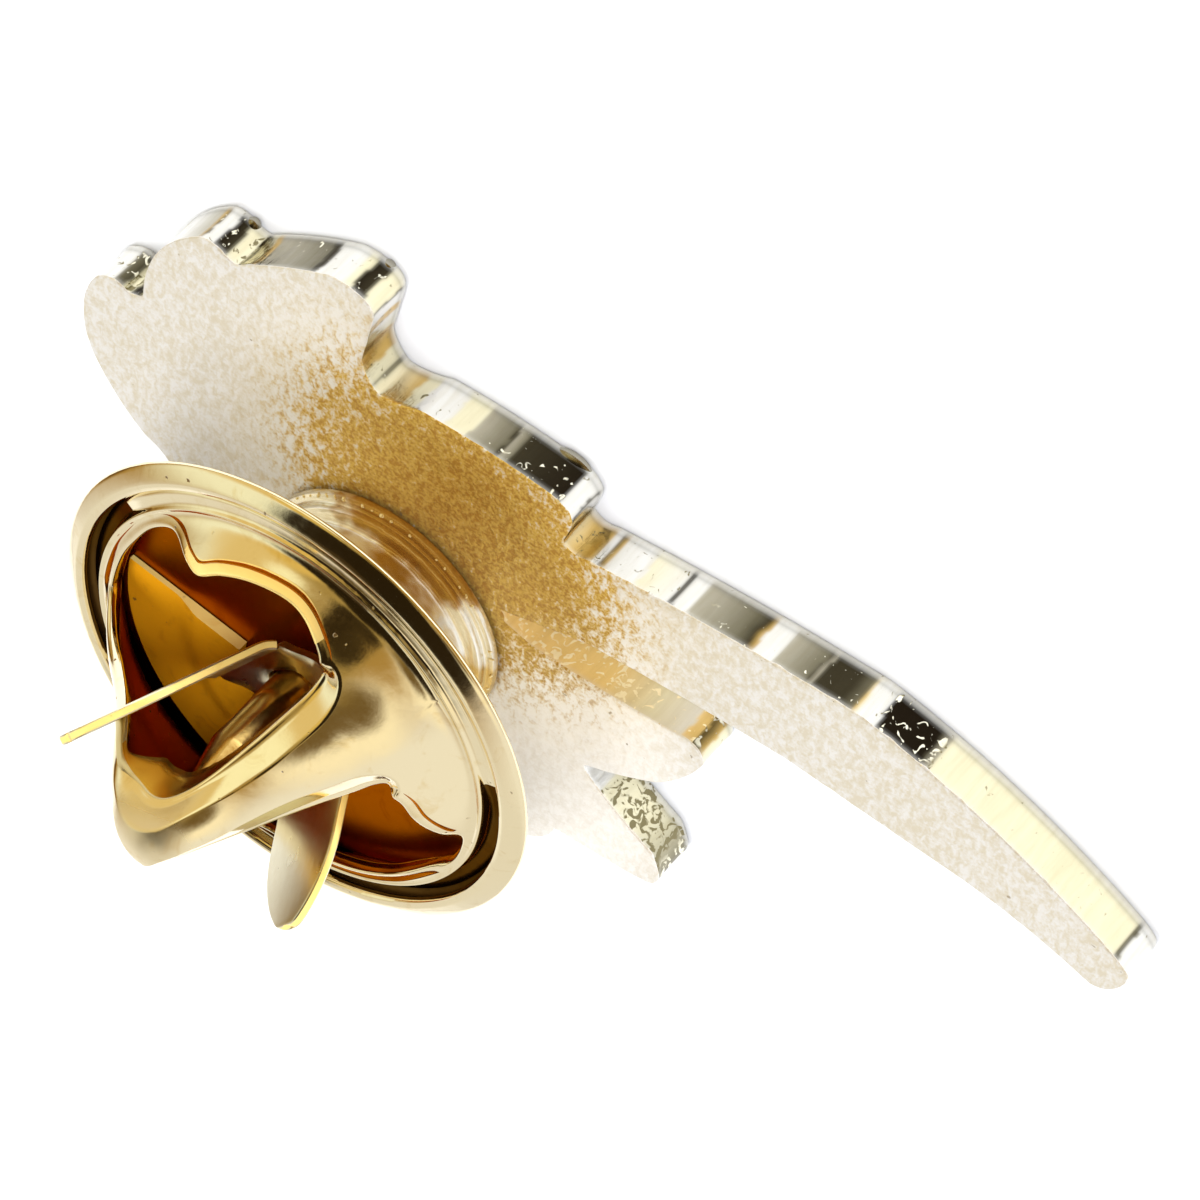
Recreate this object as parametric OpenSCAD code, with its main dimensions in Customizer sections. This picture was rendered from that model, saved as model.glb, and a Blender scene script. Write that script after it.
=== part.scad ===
// Cut-out pin badge lying on its front face, with a butterfly clutch pushed onto its post.
// The origin is on the post's axis, at the plate's front face. +X points along the tail.
// The outline table is drawn at full size, for a badge 25.3 mm long.

/* [Plate] */
// Thickness of the cut plate
plate_t = 1.2; // [1:0.1:1.6]

/* [Post] */
// Diameter of the post that is soldered to the plate's back
post_d = 1.1; // [0.9:0.05:1.1]
// Length of the post above the plate's back
post_len = 6.6; // [5.5:0.1:6.8]
// Length of the tapered point at the post's end
point_len = 1.5; // [1:0.1:2]
// Diameter of the flat at the very point
point_d = 0.3; // [0.2:0.05:0.5]

/* [Clutch base] */
// Diameter of the disc over its rolled rim
disc_d = 11.5; // [11.3:0.1:11.8]
// Height of the rim's widest ring above the plate's back
rim_h = 3.0; // [3:0.05:3.2]
// Diameter of the ring that stands on the plate
foot_d = 5.7; // [5.5:0.1:6]
// Diameter of the second ring, one step in
step_d = 5.3; // [5:0.1:5.4]
// Diameter of the neck between the rings and the disc
neck_d = 4.7; // [4.4:0.1:4.8]
// Thickness of the clutch's sheet metal
sheet_t = 0.3; // [0.25:0.05:0.35]
// Radial clearance of the post in the clutch's bores
post_clear = 0.06; // [0.04:0.01:0.1]

/* [Clutch cap] */
// Direction from the post to the first window, from +X
cap_turn = 134.4; // [120:0.2:150]
// Height of the cap's crown above the rim's widest ring
crown_h = 5.1; // [5.05:0.01:5.2]
// Depth of the edges that are turned down inside the windows
lip_depth = 0.8; // [0.5:0.1:0.9]

/* [Spring] */
// Direction from the post to the first wing, from +X
wing_turn = 150.4; // [145:0.2:152]
// Width of the saddle and of both wings
wing_w = 2.65; // [2.4:0.05:2.8]
// Thickness of the spring metal
spring_t = 0.22; // [0.18:0.01:0.25]
// Lean of wing a from upright
lean_a = 17; // [16:0.5:20]
// Lean of wing b from upright
lean_b = 31; // [26:0.5:32]
// Length of wing a from its fold to its tip
len_a = 4.4; // [4.2:0.05:4.7]
// Length of wing b from its fold to its tip
len_b = 3.75; // [3.5:0.05:4]
// Length of the wings' round ends
tip_l = 1.9; // [1.4:0.1:2.2]

/* [Hidden] */

// Small gap between pieces that touch on the real thing
gap = 0.05;
// Sides on a full turn of a round form
round_n = 96;
// Steps on one arc of an outline
arc_n = 8;
// Height by which a cut runs past what it cuts
over = 1;

back_z = plate_t;
rim_z = back_z + rim_h;
disc_r = disc_d / 2;
bore_r = post_d / 2 + post_clear;
// Gap between the saddle's end and each wing's fold
wing_gap = 0.06;
// Distance of each wing's fold from the post's axis
fold_r = 1.2;
// Height of the saddle's underside, and of the folds
saddle_z = rim_z + 0.5;

// Corners of the plate, clockwise as seen from the back.
// Each row is x, y and the bulge of the side that starts there:
// the arc's height as a share of half its chord, outwards positive.
OUTLINE = [
    // head, from its hind corner over the top
    [-8.12, 2.35, 0.14], [-7.98, 3.55, 0.28], [-7.42, 3.96, 0.12], [-7.12, 3.84, -0.25],
    [-6.76, 4.05, 0.26], [-5.60, 6.92, 0.22], [-5.05, 6.86, -0.10], [-4.72, 6.78, 0.06],
    [-2.65, 8.25, 0.16], [-1.75, 8.22, 0.30], [-1.50, 7.85, 0.00],
    // nape and back
    [-1.60, 6.50, -0.18], [-1.12, 5.84, -0.12], [-0.15, 6.18, 0.05], [3.12, 6.32, 0.20],
    [3.62, 5.92, 0.05], [3.50, 5.22, -0.40],
    // long tail
    [4.05, 5.15, 0.03], [10.40, 6.02, 0.09], [16.65, 4.18, 0.10], [17.18, 3.80, 0.20],
    [16.95, 3.10, 0.20], [16.50, 2.86, -0.06], [13.60, 3.34, 0.00], [9.20, 3.34, -0.02],
    // first slot and the lobe below it
    [4.60, 2.74, 0.00], [2.50, 1.96, 0.60], [2.62, 1.70, 0.00], [3.30, 1.55, -0.04],
    [7.10, 1.96, 0.38], [7.62, 1.50, 0.12], [6.75, 0.00, 0.05],
    // second slot and the lowest lobe
    [5.10, -1.00, 0.60], [5.16, -1.12, -0.05], [7.05, -2.27, 0.10], [7.38, -2.92, 0.35],
    [7.05, -3.34, 0.02], [4.85, -3.62, 0.25],
    // lower side, under the clutch
    [4.30, -4.45, 0.12], [2.60, -5.60, 0.12], [-0.40, -5.70, 0.12], [-3.40, -4.10, 0.08],
    [-5.40, -0.75, -0.25], [-6.20, -0.18, 0.10], [-7.55, 1.02, 0.16]];

// Half of the base's section: radius, height above the rim's widest ring, bulge
neck_r = neck_d / 2;
foot_h = back_z + gap - rim_z;
step_h = foot_h + 0.22;
neck_h = foot_h + 0.47;
disc_h = -0.5;
floor_h = disc_h + sheet_t;
BASE = [
    [bore_r, foot_h, 0], [foot_d / 2 - 0.08, foot_h, 0.4], [foot_d / 2, foot_h + 0.08, 0],
    [foot_d / 2, step_h - 0.06, 0.4], [foot_d / 2 - 0.06, step_h, 0],
    [step_d / 2, step_h, 0], [step_d / 2, neck_h - 0.08, 0.4], [step_d / 2 - 0.08, neck_h, 0],
    [neck_r, neck_h, 0], [neck_r, disc_h - 0.4, -0.4], [neck_r + 0.4, disc_h, 0],
    [disc_r - 0.5, disc_h, 0.4], [disc_r, 0, 0.4], [disc_r - 0.32, 0.34, 0.1],
    [disc_r - 0.58, 0.34, 0.4], [disc_r - 0.58, 0.16, -0.2], [disc_r - 0.35, 0, -0.35],
    [disc_r - 0.6, floor_h, 0], [bore_r, floor_h, 0], [bore_r, disc_h, 0],
    [neck_r - sheet_t, disc_h, 0], [neck_r - sheet_t, foot_h + sheet_t, 0],
    [bore_r, foot_h + sheet_t, 0]];

// Outer side of the cap's section, from the crown to the flange: radius, height, bulge
flange_r = disc_r - 0.75;
DOME = [
    [0, crown_h, 0.236], [1.0, crown_h - 0.5, 0.08], [2.0, 3.35, -0.07], [3.5, 1.6, 0.08],
    [4.5, 0.32, -0.3]];
FLANGE = [
    [4.66, 0.30, 0.4], [4.86, 0.30, 0.2], [flange_r, 0.12, 0], [flange_r, -0.02, 0],
    [flange_r + 0.22, -0.04, 0], [flange_r + 0.22, floor_h + gap, 0],
    [4.22, floor_h + gap, 0]];
INNER = [
    [4.22, 0.25, -0.08], [3.24, 1.42, 0.07], [1.75, 3.18, -0.08], [0.82, crown_h - 0.72, -0.236],
    [0, crown_h - sheet_t, 0]];

// One window seen from above, with the strap on its left: x, y, bulge
WINDOW = [
    [1.25, 2.85, 0.30], [1.80, 3.36, 0.10], [2.98, 3.10, 0.43], [2.98, -3.10, 0.10],
    [1.80, -3.36, 0.30], [1.25, -2.85, 0.13]];
WINDOW_MIDDLE = [2.7, 0];
// Height above the rim's widest ring where the windows start
prism_low = 0.1;

// Points of the arc from a to b, without b. Its middle stands bulge half-chords to the left.
function arc(a, b, bulge) =
    abs(bulge) < 0.001 ? [a] :
    let (chord = b - a, half = norm(chord) / 2, left = [-chord[1], chord[0]] / norm(chord),
        rise = bulge * half, radius = (half * half + rise * rise) / (2 * rise),
        centre = (a + b) / 2 + left * (rise - radius), turn = -4 * atan(bulge),
        start = atan2(a[1] - centre[1], a[0] - centre[0]))
    [for (i = [0 : arc_n - 1]) let (angle = start + turn * i / arc_n)
        centre + norm(a - centre) * [cos(angle), sin(angle)]];

// Points of a closed outline, from rows of x, y, bulge. side is -1 for a counterclockwise table.
function closed(rows, side = 1) =
    [for (i = [0 : len(rows) - 1]) let (next = rows[(i + 1) % len(rows)])
        each arc([rows[i][0], rows[i][1]], [next[0], next[1]], side * rows[i][2])];

// Points along open rows of x, y, bulge, up to the last row's own arc
function open_line(rows) =
    [for (i = [0 : len(rows) - 2])
        each arc([rows[i][0], rows[i][1]], [rows[i + 1][0], rows[i + 1][1]], rows[i][2])];

// The window's rows moved away from its middle by about grow
function grown(grow) =
    [for (row = WINDOW) let (out = [row[0], row[1]] - WINDOW_MIDDLE, far = norm(out))
        [WINDOW_MIDDLE[0] + out[0] * (far + grow) / far,
            WINDOW_MIDDLE[1] + out[1] * (far + grow) / far, row[2]]];

module badge_plate() {
    color("#e6d9a8") {
        linear_extrude(plate_t) polygon(closed(OUTLINE));
        translate([0, 0, back_z - 0.1]) cylinder(h = post_len - point_len + 0.1, d = post_d, $fn = 48);
        translate([0, 0, back_z + post_len - point_len])
            cylinder(h = point_len, d1 = post_d, d2 = point_d, $fn = 48);
    }
}

module clutch_base() {
    color("#d9a533")
        translate([0, 0, rim_z])
            rotate_extrude($fn = round_n) polygon(closed(BASE, -1));
}

// Prism of one window, wider by grow all round
module window_prism(grow) {
    translate([0, 0, prism_low]) linear_extrude(crown_h) polygon(closed(grown(grow)));
}

// Thick band under the dome round one window, which is cut open afterwards
module window_band() {
    line = open_line(DOME);
    top = [for (p = line) [p[0], p[1] - sheet_t / 2]];
    low = [for (i = [len(line) - 1 : -1 : 0]) [line[i][0], max(prism_low, line[i][1] - lip_depth)]];
    intersection() {
        rotate_extrude($fn = round_n) polygon(concat(top, low));
        window_prism(sheet_t);
    }
}

module clutch_cap() {
    color("#e3b548")
        translate([0, 0, rim_z]) rotate([0, 0, cap_turn]) difference() {
            union() {
                rotate_extrude($fn = round_n) polygon(closed(concat(DOME, FLANGE, INNER)));
                for (side = [0, 180]) rotate([0, 0, side]) window_band();
            }
            for (side = [0, 180]) rotate([0, 0, side]) window_prism(0);
        }
}

// Strip across the post, with its long sides turned down to stand on the disc
module spring_saddle() {
    foot_z = rim_z + floor_h + gap;
    strip_l = 2 * (fold_r - wing_gap);
    inner_w = wing_w - 2 * spring_t;
    color("#c9a04a")
        rotate([0, 0, wing_turn]) difference() {
            translate([-strip_l / 2, -wing_w / 2, foot_z])
                cube([strip_l, wing_w, saddle_z + spring_t - foot_z]);
            translate([-strip_l / 2 - over, -inner_w / 2, foot_z - over])
                cube([strip_l + 2 * over, inner_w, saddle_z - foot_z + over]);
            translate([0, 0, foot_z]) cylinder(h = saddle_z - foot_z + over, r = bore_r, $fn = 48);
        }
}

// Flat tongue that stands on its fold, leans out and has a long round tip
module tongue(lean, length) {
    side_x = wing_w / 2;
    shoulder = length - tip_l;
    tip = [
        [-side_x, 0, 0], [-side_x, shoulder, 0.24], [-0.35 * side_x, length, 0.1],
        [0.35 * side_x, length, 0.24], [side_x, shoulder, 0], [side_x, 0, 0]];
    translate([fold_r, 0, saddle_z]) rotate([0, lean, 0]) rotate([90, 0, 90])
        linear_extrude(spring_t) polygon(closed(tip));
}

module wing_a() {
    color("#c8bf95") rotate([0, 0, wing_turn]) tongue(lean_a, len_a);
}

module wing_b() {
    color("#c8bf95") rotate([0, 0, wing_turn + 180]) tongue(lean_b, len_b);
}

badge_plate();
clutch_base();
clutch_cap();
spring_saddle();
wing_a();
wing_b();
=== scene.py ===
"""Dresses the lapel pin badge for rendering: the cut-out plate with its post, and the butterfly clutch."""

import logging
import math
from dataclasses import dataclass
from enum import Enum
from typing import Callable, ClassVar, Sequence

import bpy
import bmesh
import numpy as np
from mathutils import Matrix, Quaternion, Vector, noise
from mathutils.geometry import delaunay_2d_cdt


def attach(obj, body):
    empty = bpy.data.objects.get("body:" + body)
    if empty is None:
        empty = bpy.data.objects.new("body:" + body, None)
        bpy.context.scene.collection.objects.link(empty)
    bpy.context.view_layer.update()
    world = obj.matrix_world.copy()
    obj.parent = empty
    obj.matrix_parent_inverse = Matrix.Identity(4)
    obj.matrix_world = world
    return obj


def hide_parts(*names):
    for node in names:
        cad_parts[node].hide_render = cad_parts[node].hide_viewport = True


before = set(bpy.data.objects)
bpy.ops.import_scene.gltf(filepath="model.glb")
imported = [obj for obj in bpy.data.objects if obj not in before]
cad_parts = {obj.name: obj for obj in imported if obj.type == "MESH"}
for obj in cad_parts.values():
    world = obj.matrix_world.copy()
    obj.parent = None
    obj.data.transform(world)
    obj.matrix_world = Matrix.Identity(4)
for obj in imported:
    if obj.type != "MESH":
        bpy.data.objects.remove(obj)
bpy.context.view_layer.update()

LOG = logging.getLogger("pin_badge")
MM = 0.001
# A bulge smaller than this is a straight line
STRAIGHT = 0.001
Colour = tuple[float, float, float]
Row = tuple[float, float, float]


class Body(Enum):
    """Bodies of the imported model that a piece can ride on."""
    BADGE = "badge"
    CLUTCH = "clutch"
    WING_A = "wing_left"
    WING_B = "wing_right"


class Slot(Enum):
    """Material slots of the record."""
    PLATE = "plate_metal"
    CLUTCH = "clutch_metal"
    SPRING = "spring_metal"


class Wave(Enum):
    """Seeds that keep the noise of different surfaces apart."""
    WALL = 3.1
    CAP = 23.9
    BASE = 37.3
    LIP = 51.2


class Tone(Enum):
    """Base colours of the side walls' painted reflection bands, from white gold to near black."""
    WHITE = (0.76, 0.75, 0.70)
    PALE = (0.77, 0.72, 0.50)
    GILT = (0.88, 0.66, 0.27)
    HAZE = (0.40, 0.37, 0.28)
    GOLD = (0.60, 0.40, 0.12)
    OLIVE = (0.15, 0.135, 0.085)
    DARK = (0.04, 0.033, 0.018)
    BLACK = (0.013, 0.009, 0.005)


WHITE, PALE, GILT, HAZE, GOLD, OLIVE, DARK, BLACK = Tone


def ripple(x: float, y: float, wave: Wave) -> float:
    """Returns smooth noise from about -1 to 1.

    Args:
        x: first coordinate, in wavelengths.
        y: second coordinate, in wavelengths.
        wave: the surface that the noise belongs to.

    Returns:
        The noise at that place.
    """
    return noise.noise(Vector((x, y, wave.value)))


def smooth_step(value: np.ndarray, low: float, high: float) -> np.ndarray:
    """Returns 0 below low, 1 above high and an S-curve between them."""
    share = np.clip((np.asarray(value, float) - low) / (high - low), 0.0, 1.0)
    return share * share * (3.0 - 2.0 * share)


def on_circle(angles: np.ndarray) -> np.ndarray:
    """Returns points of the unit circle."""
    return np.stack([np.cos(angles), np.sin(angles)], 1)


def full_turn(count: int) -> np.ndarray:
    """Returns evenly spaced angles of a full turn."""
    return np.linspace(0, 2 * math.pi, count, endpoint=False)


def directions(turn_deg: float) -> tuple[np.ndarray, np.ndarray, np.ndarray]:
    """Returns unit vectors away from the post in a direction from +X, across that, and up.

    Args:
        turn_deg: the direction, from +X.

    Returns:
        The three unit vectors.
    """
    turn = math.radians(turn_deg)
    away = np.array([math.cos(turn), math.sin(turn), 0.0])
    across = np.array([-math.sin(turn), math.cos(turn), 0.0])
    return away, across, np.array([0.0, 0.0, 1.0])


def arc_points(start: Sequence[float], end: Sequence[float], bulge: float, step: float) -> np.ndarray:
    """Samples the arc from start to end, without end.

    Args:
        start: first point.
        end: last point.
        bulge: height of the arc as a share of half its chord, positive to the left.
        step: largest distance between points.

    Returns:
        An array of points.
    """
    a, b = np.array(start[:2], float), np.array(end[:2], float)
    chord = b - a
    length = float(np.linalg.norm(chord))
    count = max(2, int(math.ceil(length * (1 + abs(bulge)) / step)))
    share = np.arange(count) / count
    if abs(bulge) < STRAIGHT:
        return a + share[:, None] * chord
    half, left = length / 2, np.array([-chord[1], chord[0]]) / length
    rise = bulge * half
    radius = (half * half + rise * rise) / (2 * rise)
    centre = (a + b) / 2 + left * (rise - radius)
    turn = -4 * math.atan(bulge)
    first = math.atan2(a[1] - centre[1], a[0] - centre[0])
    angle = first + turn * share
    return centre + abs(radius) * on_circle(angle)


def closed_outline(rows: Sequence[Row], step: float) -> np.ndarray:
    """Samples a closed outline of x, y, bulge rows."""
    pairs = zip(rows, list(rows[1:]) + [rows[0]])
    return np.concatenate([arc_points(a, b, a[2], step) for a, b in pairs])


def open_line(rows: Sequence[Row], step: float) -> np.ndarray:
    """Samples an open line of x, y, bulge rows, with its last point."""
    parts = [arc_points(a, b, a[2], step) for a, b in zip(rows, rows[1:])]
    return np.concatenate(parts + [np.array([rows[-1][:2]], float)])


def distances(loop: np.ndarray) -> np.ndarray:
    """Returns the distance along a closed loop to each of its points, and last its whole length."""
    gaps = np.linalg.norm(np.roll(loop, -1, 0) - loop, axis=1)
    return np.concatenate([[0.0], np.cumsum(gaps)])


def even_spacing(loop: np.ndarray, count: int) -> np.ndarray:
    """Spaces points evenly along a closed loop.

    Args:
        loop: points of the loop.
        count: how many points it gets.

    Returns:
        The new points.
    """
    ring, along = np.vstack([loop, loop[:1]]), distances(loop)
    at = np.linspace(0, along[-1], count, endpoint=False)
    return np.stack([np.interp(at, along, ring[:, k]) for k in range(ring.shape[1])], 1)


def soften(loop: np.ndarray, passes: int) -> np.ndarray:
    """Averages each point of a closed loop with its neighbours, passes times.

    Args:
        loop: points of the loop.
        passes: how often it is smoothed.

    Returns:
        The smoothed points.
    """
    for _ in range(passes):
        loop = (np.roll(loop, 1, 0) + 2 * loop + np.roll(loop, -1, 0)) / 4
    return loop


def loop_normals(loop: np.ndarray) -> np.ndarray:
    """Returns unit vectors to the left of a closed loop's direction.

    Args:
        loop: points of the loop.

    Returns:
        A unit vector for each point.
    """
    along = np.roll(loop, -1, 0) - np.roll(loop, 1, 0)
    left = np.stack([-along[:, 1], along[:, 0]], 1)
    return left / np.linalg.norm(left, axis=1)[:, None]


def add_object(name: str, data: bpy.types.ID) -> bpy.types.Object:
    """Adds an object for some data to the scene.

    Args:
        name: the object's name.
        data: its mesh, camera or light.

    Returns:
        The object.
    """
    thing = bpy.data.objects.new(name, data)
    bpy.context.scene.collection.objects.link(thing)
    return thing


class MeshDraft:
    """Collects points in millimetres and faces, and makes a piece of them."""

    def __init__(self) -> None:
        """Starts empty."""
        self.points: list[np.ndarray] = []
        self.total = 0
        self.faces: list[tuple[int, ...]] = []
        self.slots: list[int] = []
        self.uvs: list[tuple[float, float]] = []
        self.tints: list[tuple[float, ...]] = []

    def add_points(self, points: np.ndarray) -> int:
        """Adds points and returns the number of the first one.

        Args:
            points: points, in millimetres.

        Returns:
            The number of the first one.
        """
        first = self.total
        self.points.append(np.asarray(points, float).reshape(-1, 3))
        self.total += len(self.points[-1])
        return first

    def add_face(self, corners: Sequence[int], slot: int, uvs: Sequence[tuple[float, float]] | None = None,
                 tints: Sequence[tuple[float, ...]] | None = None) -> None:
        """Adds one face.

        Args:
            corners: numbers of its points.
            slot: number of its material.
            uvs: a map position for each corner.
            tints: a colour and its share of flecks for each corner.
        """
        self.faces.append(tuple(corners))
        self.slots.append(slot)
        self.uvs.extend(uvs or [(0.0, 0.0)] * len(corners))
        self.tints.extend(tints or [(*PALE.value, 0.0)] * len(corners))

    def grid(self, rows: np.ndarray, slots: int | np.ndarray = 0, uv: np.ndarray | None = None,
             tint: np.ndarray | None = None) -> int:
        """Adds a grid of quads whose last column joins the first.

        Args:
            rows: points, rows by columns by 3.
            slots: number of its material, or one for each face.
            uv: map positions, rows by columns plus one by 2.
            tint: colours with their share of flecks, rows by columns plus one by 4.

        Returns:
            The number of the grid's first point.
        """
        height, width = rows.shape[:2]
        marks = np.broadcast_to(slots, (height - 1, width))
        first = self.add_points(rows)
        for j in range(height - 1):
            for i in range(width):
                places = [(j, i), (j, i + 1), (j + 1, i + 1), (j + 1, i)]
                corners = [first + a * width + b % width for a, b in places]
                self.add_face(corners, int(marks[j, i]),
                              None if uv is None else [tuple(uv[a, b]) for a, b in places],
                              None if tint is None else [tuple(tint[a, b]) for a, b in places])
        return first

    def tube(self, rows: np.ndarray, slots: int | np.ndarray = 0) -> None:
        """Adds a grid with a face on each end.

        Args:
            rows: points, rows by columns by 3.
            slots: number of its material, or one for each face of the grid.
        """
        height, width = rows.shape[:2]
        first = self.grid(rows, slots)
        for start in (first, first + (height - 1) * width):
            self.add_face(list(range(start, start + width)), 0)

    def revolve(self, profile: np.ndarray, sides: int, waver: Callable[[float, float], float] | None = None,
                closed: bool = True) -> None:
        """Adds a turned form.

        Args:
            profile: radius and height of each point of the section.
            sides: number of sides.
            waver: radial error at an angle and a height.
            closed: whether the section is a closed loop.
        """
        section = np.vstack([profile, profile[:1]]) if closed else profile
        angles = full_turn(sides)
        rows = np.zeros((len(section), sides, 3))
        for row, (radius, height) in zip(rows, section):
            error = np.array([waver(a, height) if waver and radius > 0.01 else 0.0 for a in angles])
            row[:, :2] = (radius + error)[:, None] * on_circle(angles)
            row[:, 2] = height
        self.grid(rows)

    def piece(self, name: str, materials: Sequence[bpy.types.Material], sharp_deg: float = 38.0,
              merge: float = 0.0008) -> bpy.types.Object:
        """Makes the object.

        Args:
            name: name of the piece.
            materials: one material for each slot number.
            sharp_deg: edges sharper than this stay crisp.
            merge: points closer than this, in millimetres, become one.

        Returns:
            The new object, at the origin.
        """
        mesh = bpy.data.meshes.new(name)
        mesh.from_pydata((np.concatenate(self.points) * MM).tolist(), [], self.faces)
        mesh.polygons.foreach_set("material_index", self.slots)
        mesh.uv_layers.new(name="UVMap").data.foreach_set("uv", np.array(self.uvs, float).ravel())
        mesh.attributes.new("tint", "FLOAT_COLOR", "CORNER").data.foreach_set(
            "color", np.array(self.tints, float).ravel())
        form = bmesh.new()
        form.from_mesh(mesh)
        bmesh.ops.remove_doubles(form, verts=form.verts, dist=merge * MM)
        bmesh.ops.dissolve_degenerate(form, edges=form.edges, dist=1e-9)
        bmesh.ops.delete(form, geom=[v for v in form.verts if not v.link_faces], context="VERTS")
        bmesh.ops.recalc_face_normals(form, faces=form.faces)
        form.to_mesh(mesh)
        form.free()
        mesh.polygons.foreach_set("use_smooth", [True] * len(mesh.polygons))
        mesh.set_sharp_from_angle(angle=math.radians(sharp_deg))
        for material in materials:
            mesh.materials.append(material)
        return add_object(name, mesh)


class Wire:
    """Wraps a shader socket, so that maths on it adds Math nodes."""

    def __init__(self, graph: "Graph", socket: bpy.types.NodeSocket) -> None:
        """Keeps the graph and its socket."""
        self.graph = graph
        self.socket = socket

    def math(self, operation: str, *others: "Wire | float") -> "Wire":
        """Adds a Math node on this value and others."""
        values = dict(enumerate([self, *others]))
        return self.graph.out(self.graph.node("ShaderNodeMath", {"operation": operation}, values))

    def __add__(self, other: "Wire | float") -> "Wire":
        """Adds."""
        return self.math("ADD", other)

    __radd__ = __add__

    def __mul__(self, other: "Wire | float") -> "Wire":
        """Multiplies."""
        return self.math("MULTIPLY", other)

    __rmul__ = __mul__

    def __sub__(self, other: "Wire | float") -> "Wire":
        """Subtracts."""
        return self.math("SUBTRACT", other)

    def __rsub__(self, other: float) -> "Wire":
        """Subtracts this value from a number."""
        return (self * -1.0) + other

    def clamp(self) -> "Wire":
        """Limits the value to 0 to 1."""
        return self.math("MINIMUM", 1.0).math("MAXIMUM", 0.0)

    def ramp(self, low: float, high: float) -> "Wire":
        """Runs smoothly from 0 at low to 1 at high. low may be above high."""
        settings = {"interpolation_type": "SMOOTHSTEP"}
        return self.graph.out(self.graph.node("ShaderNodeMapRange", settings, {0: self, 1: low, 2: high}))


class Graph:
    """Builds the nodes of one material or world."""

    def __init__(self, owner: bpy.types.Material | bpy.types.World) -> None:
        """Empties the owner's node tree.

        Args:
            owner: the material or world.
        """
        owner.use_nodes = True
        self.tree = owner.node_tree
        self.tree.nodes.clear()

    def node(self, kind: str, settings: dict | None = None, sockets: dict | None = None) -> bpy.types.Node:
        """Adds a node.

        Args:
            kind: the node's type.
            settings: its properties.
            sockets: values or wires, by socket name or number.

        Returns:
            The node.
        """
        made = self.tree.nodes.new(kind)
        for key, value in (settings or {}).items():
            setattr(made, key, value)
        for key, value in (sockets or {}).items():
            if isinstance(value, Wire):
                self.tree.links.new(value.socket, made.inputs[key])
            else:
                made.inputs[key].default_value = value
        return made

    def out(self, made: bpy.types.Node, key: int | str = 0) -> Wire:
        """Returns one output of a node as a wire."""
        return Wire(self, made.outputs[key])

    def vector(self, operation: str, sockets: dict) -> bpy.types.Node:
        """Adds a Vector Math node."""
        return self.node("ShaderNodeVectorMath", {"operation": operation}, sockets)

    def place(self) -> Wire:
        """Returns the object coordinates in millimetres."""
        coords = self.out(self.node("ShaderNodeTexCoord"), "Object")
        return self.out(self.vector("SCALE", {0: coords, "Scale": 1.0 / MM}))

    def stretch(self, place: Wire, factors: Row) -> Wire:
        """Multiplies each coordinate by its own factor."""
        return self.out(self.vector("MULTIPLY", {0: place, 1: factors}))

    def measure(self, operation: str, place: Wire, other: Row) -> Wire:
        """Returns the number that a vector operation, such as DISTANCE, makes of two vectors."""
        return self.out(self.vector(operation, {0: place, 1: other}), "Value")

    def noise(self, place: Wire, scale: float, detail: float = 2.0, rough: float = 0.5,
              warp: float = 0.0) -> Wire:
        """Adds a noise texture and returns its value.

        Args:
            place: where it is read.
            scale: its waves per unit of place.
            detail: number of finer layers.
            rough: strength of the finer layers.
            warp: how far it is distorted.

        Returns:
            The noise, from 0 to 1.
        """
        made = self.node("ShaderNodeTexNoise", None, {
            "Vector": place, "Scale": scale, "Detail": detail, "Roughness": rough, "Distortion": warp})
        return self.out(made, 0)

    def mix(self, factor: Wire | float, a: Wire | Colour, b: Wire | Colour, blend: str = "MIX") -> Wire:
        """Mixes two colours.

        Args:
            factor: share of the second colour.
            a: first colour.
            b: second colour.
            blend: the way of mixing.

        Returns:
            The mixed colour.
        """
        full = [c if isinstance(c, Wire) else (*c, 1.0) for c in (a, b)]
        made = self.node("ShaderNodeMix", {"data_type": "RGBA", "blend_type": blend},
                         {0: factor, 6: full[0], 7: full[1]})
        return self.out(made, 2)

    def bump(self, height: Wire, distance_mm: float) -> Wire:
        """Adds a bump of the given depth."""
        sockets = {"Height": height, "Distance": distance_mm * MM, "Strength": 1.0}
        return self.out(self.node("ShaderNodeBump", None, sockets))

    def surface(self, sockets: dict) -> None:
        """Ends the graph in a Principled shader."""
        shader = self.node("ShaderNodeBsdfPrincipled", None, sockets)
        self.node("ShaderNodeOutputMaterial", None, {"Surface": self.out(shader)})


class Finish:
    """A material that named values describe."""
    name: str

    def sockets(self, graph: Graph) -> dict:
        """Adds the nodes and returns the shader's inputs.

        Args:
            graph: the material's graph.

        Returns:
            Values or wires, by the name of the Principled shader's input.
        """
        raise NotImplementedError

    def build(self) -> bpy.types.Material:
        """Returns the material.

        Returns:
            The material.
        """
        material = bpy.data.materials.new(self.name)
        graph = Graph(material)
        graph.surface(self.sockets(graph))
        return material


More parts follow.
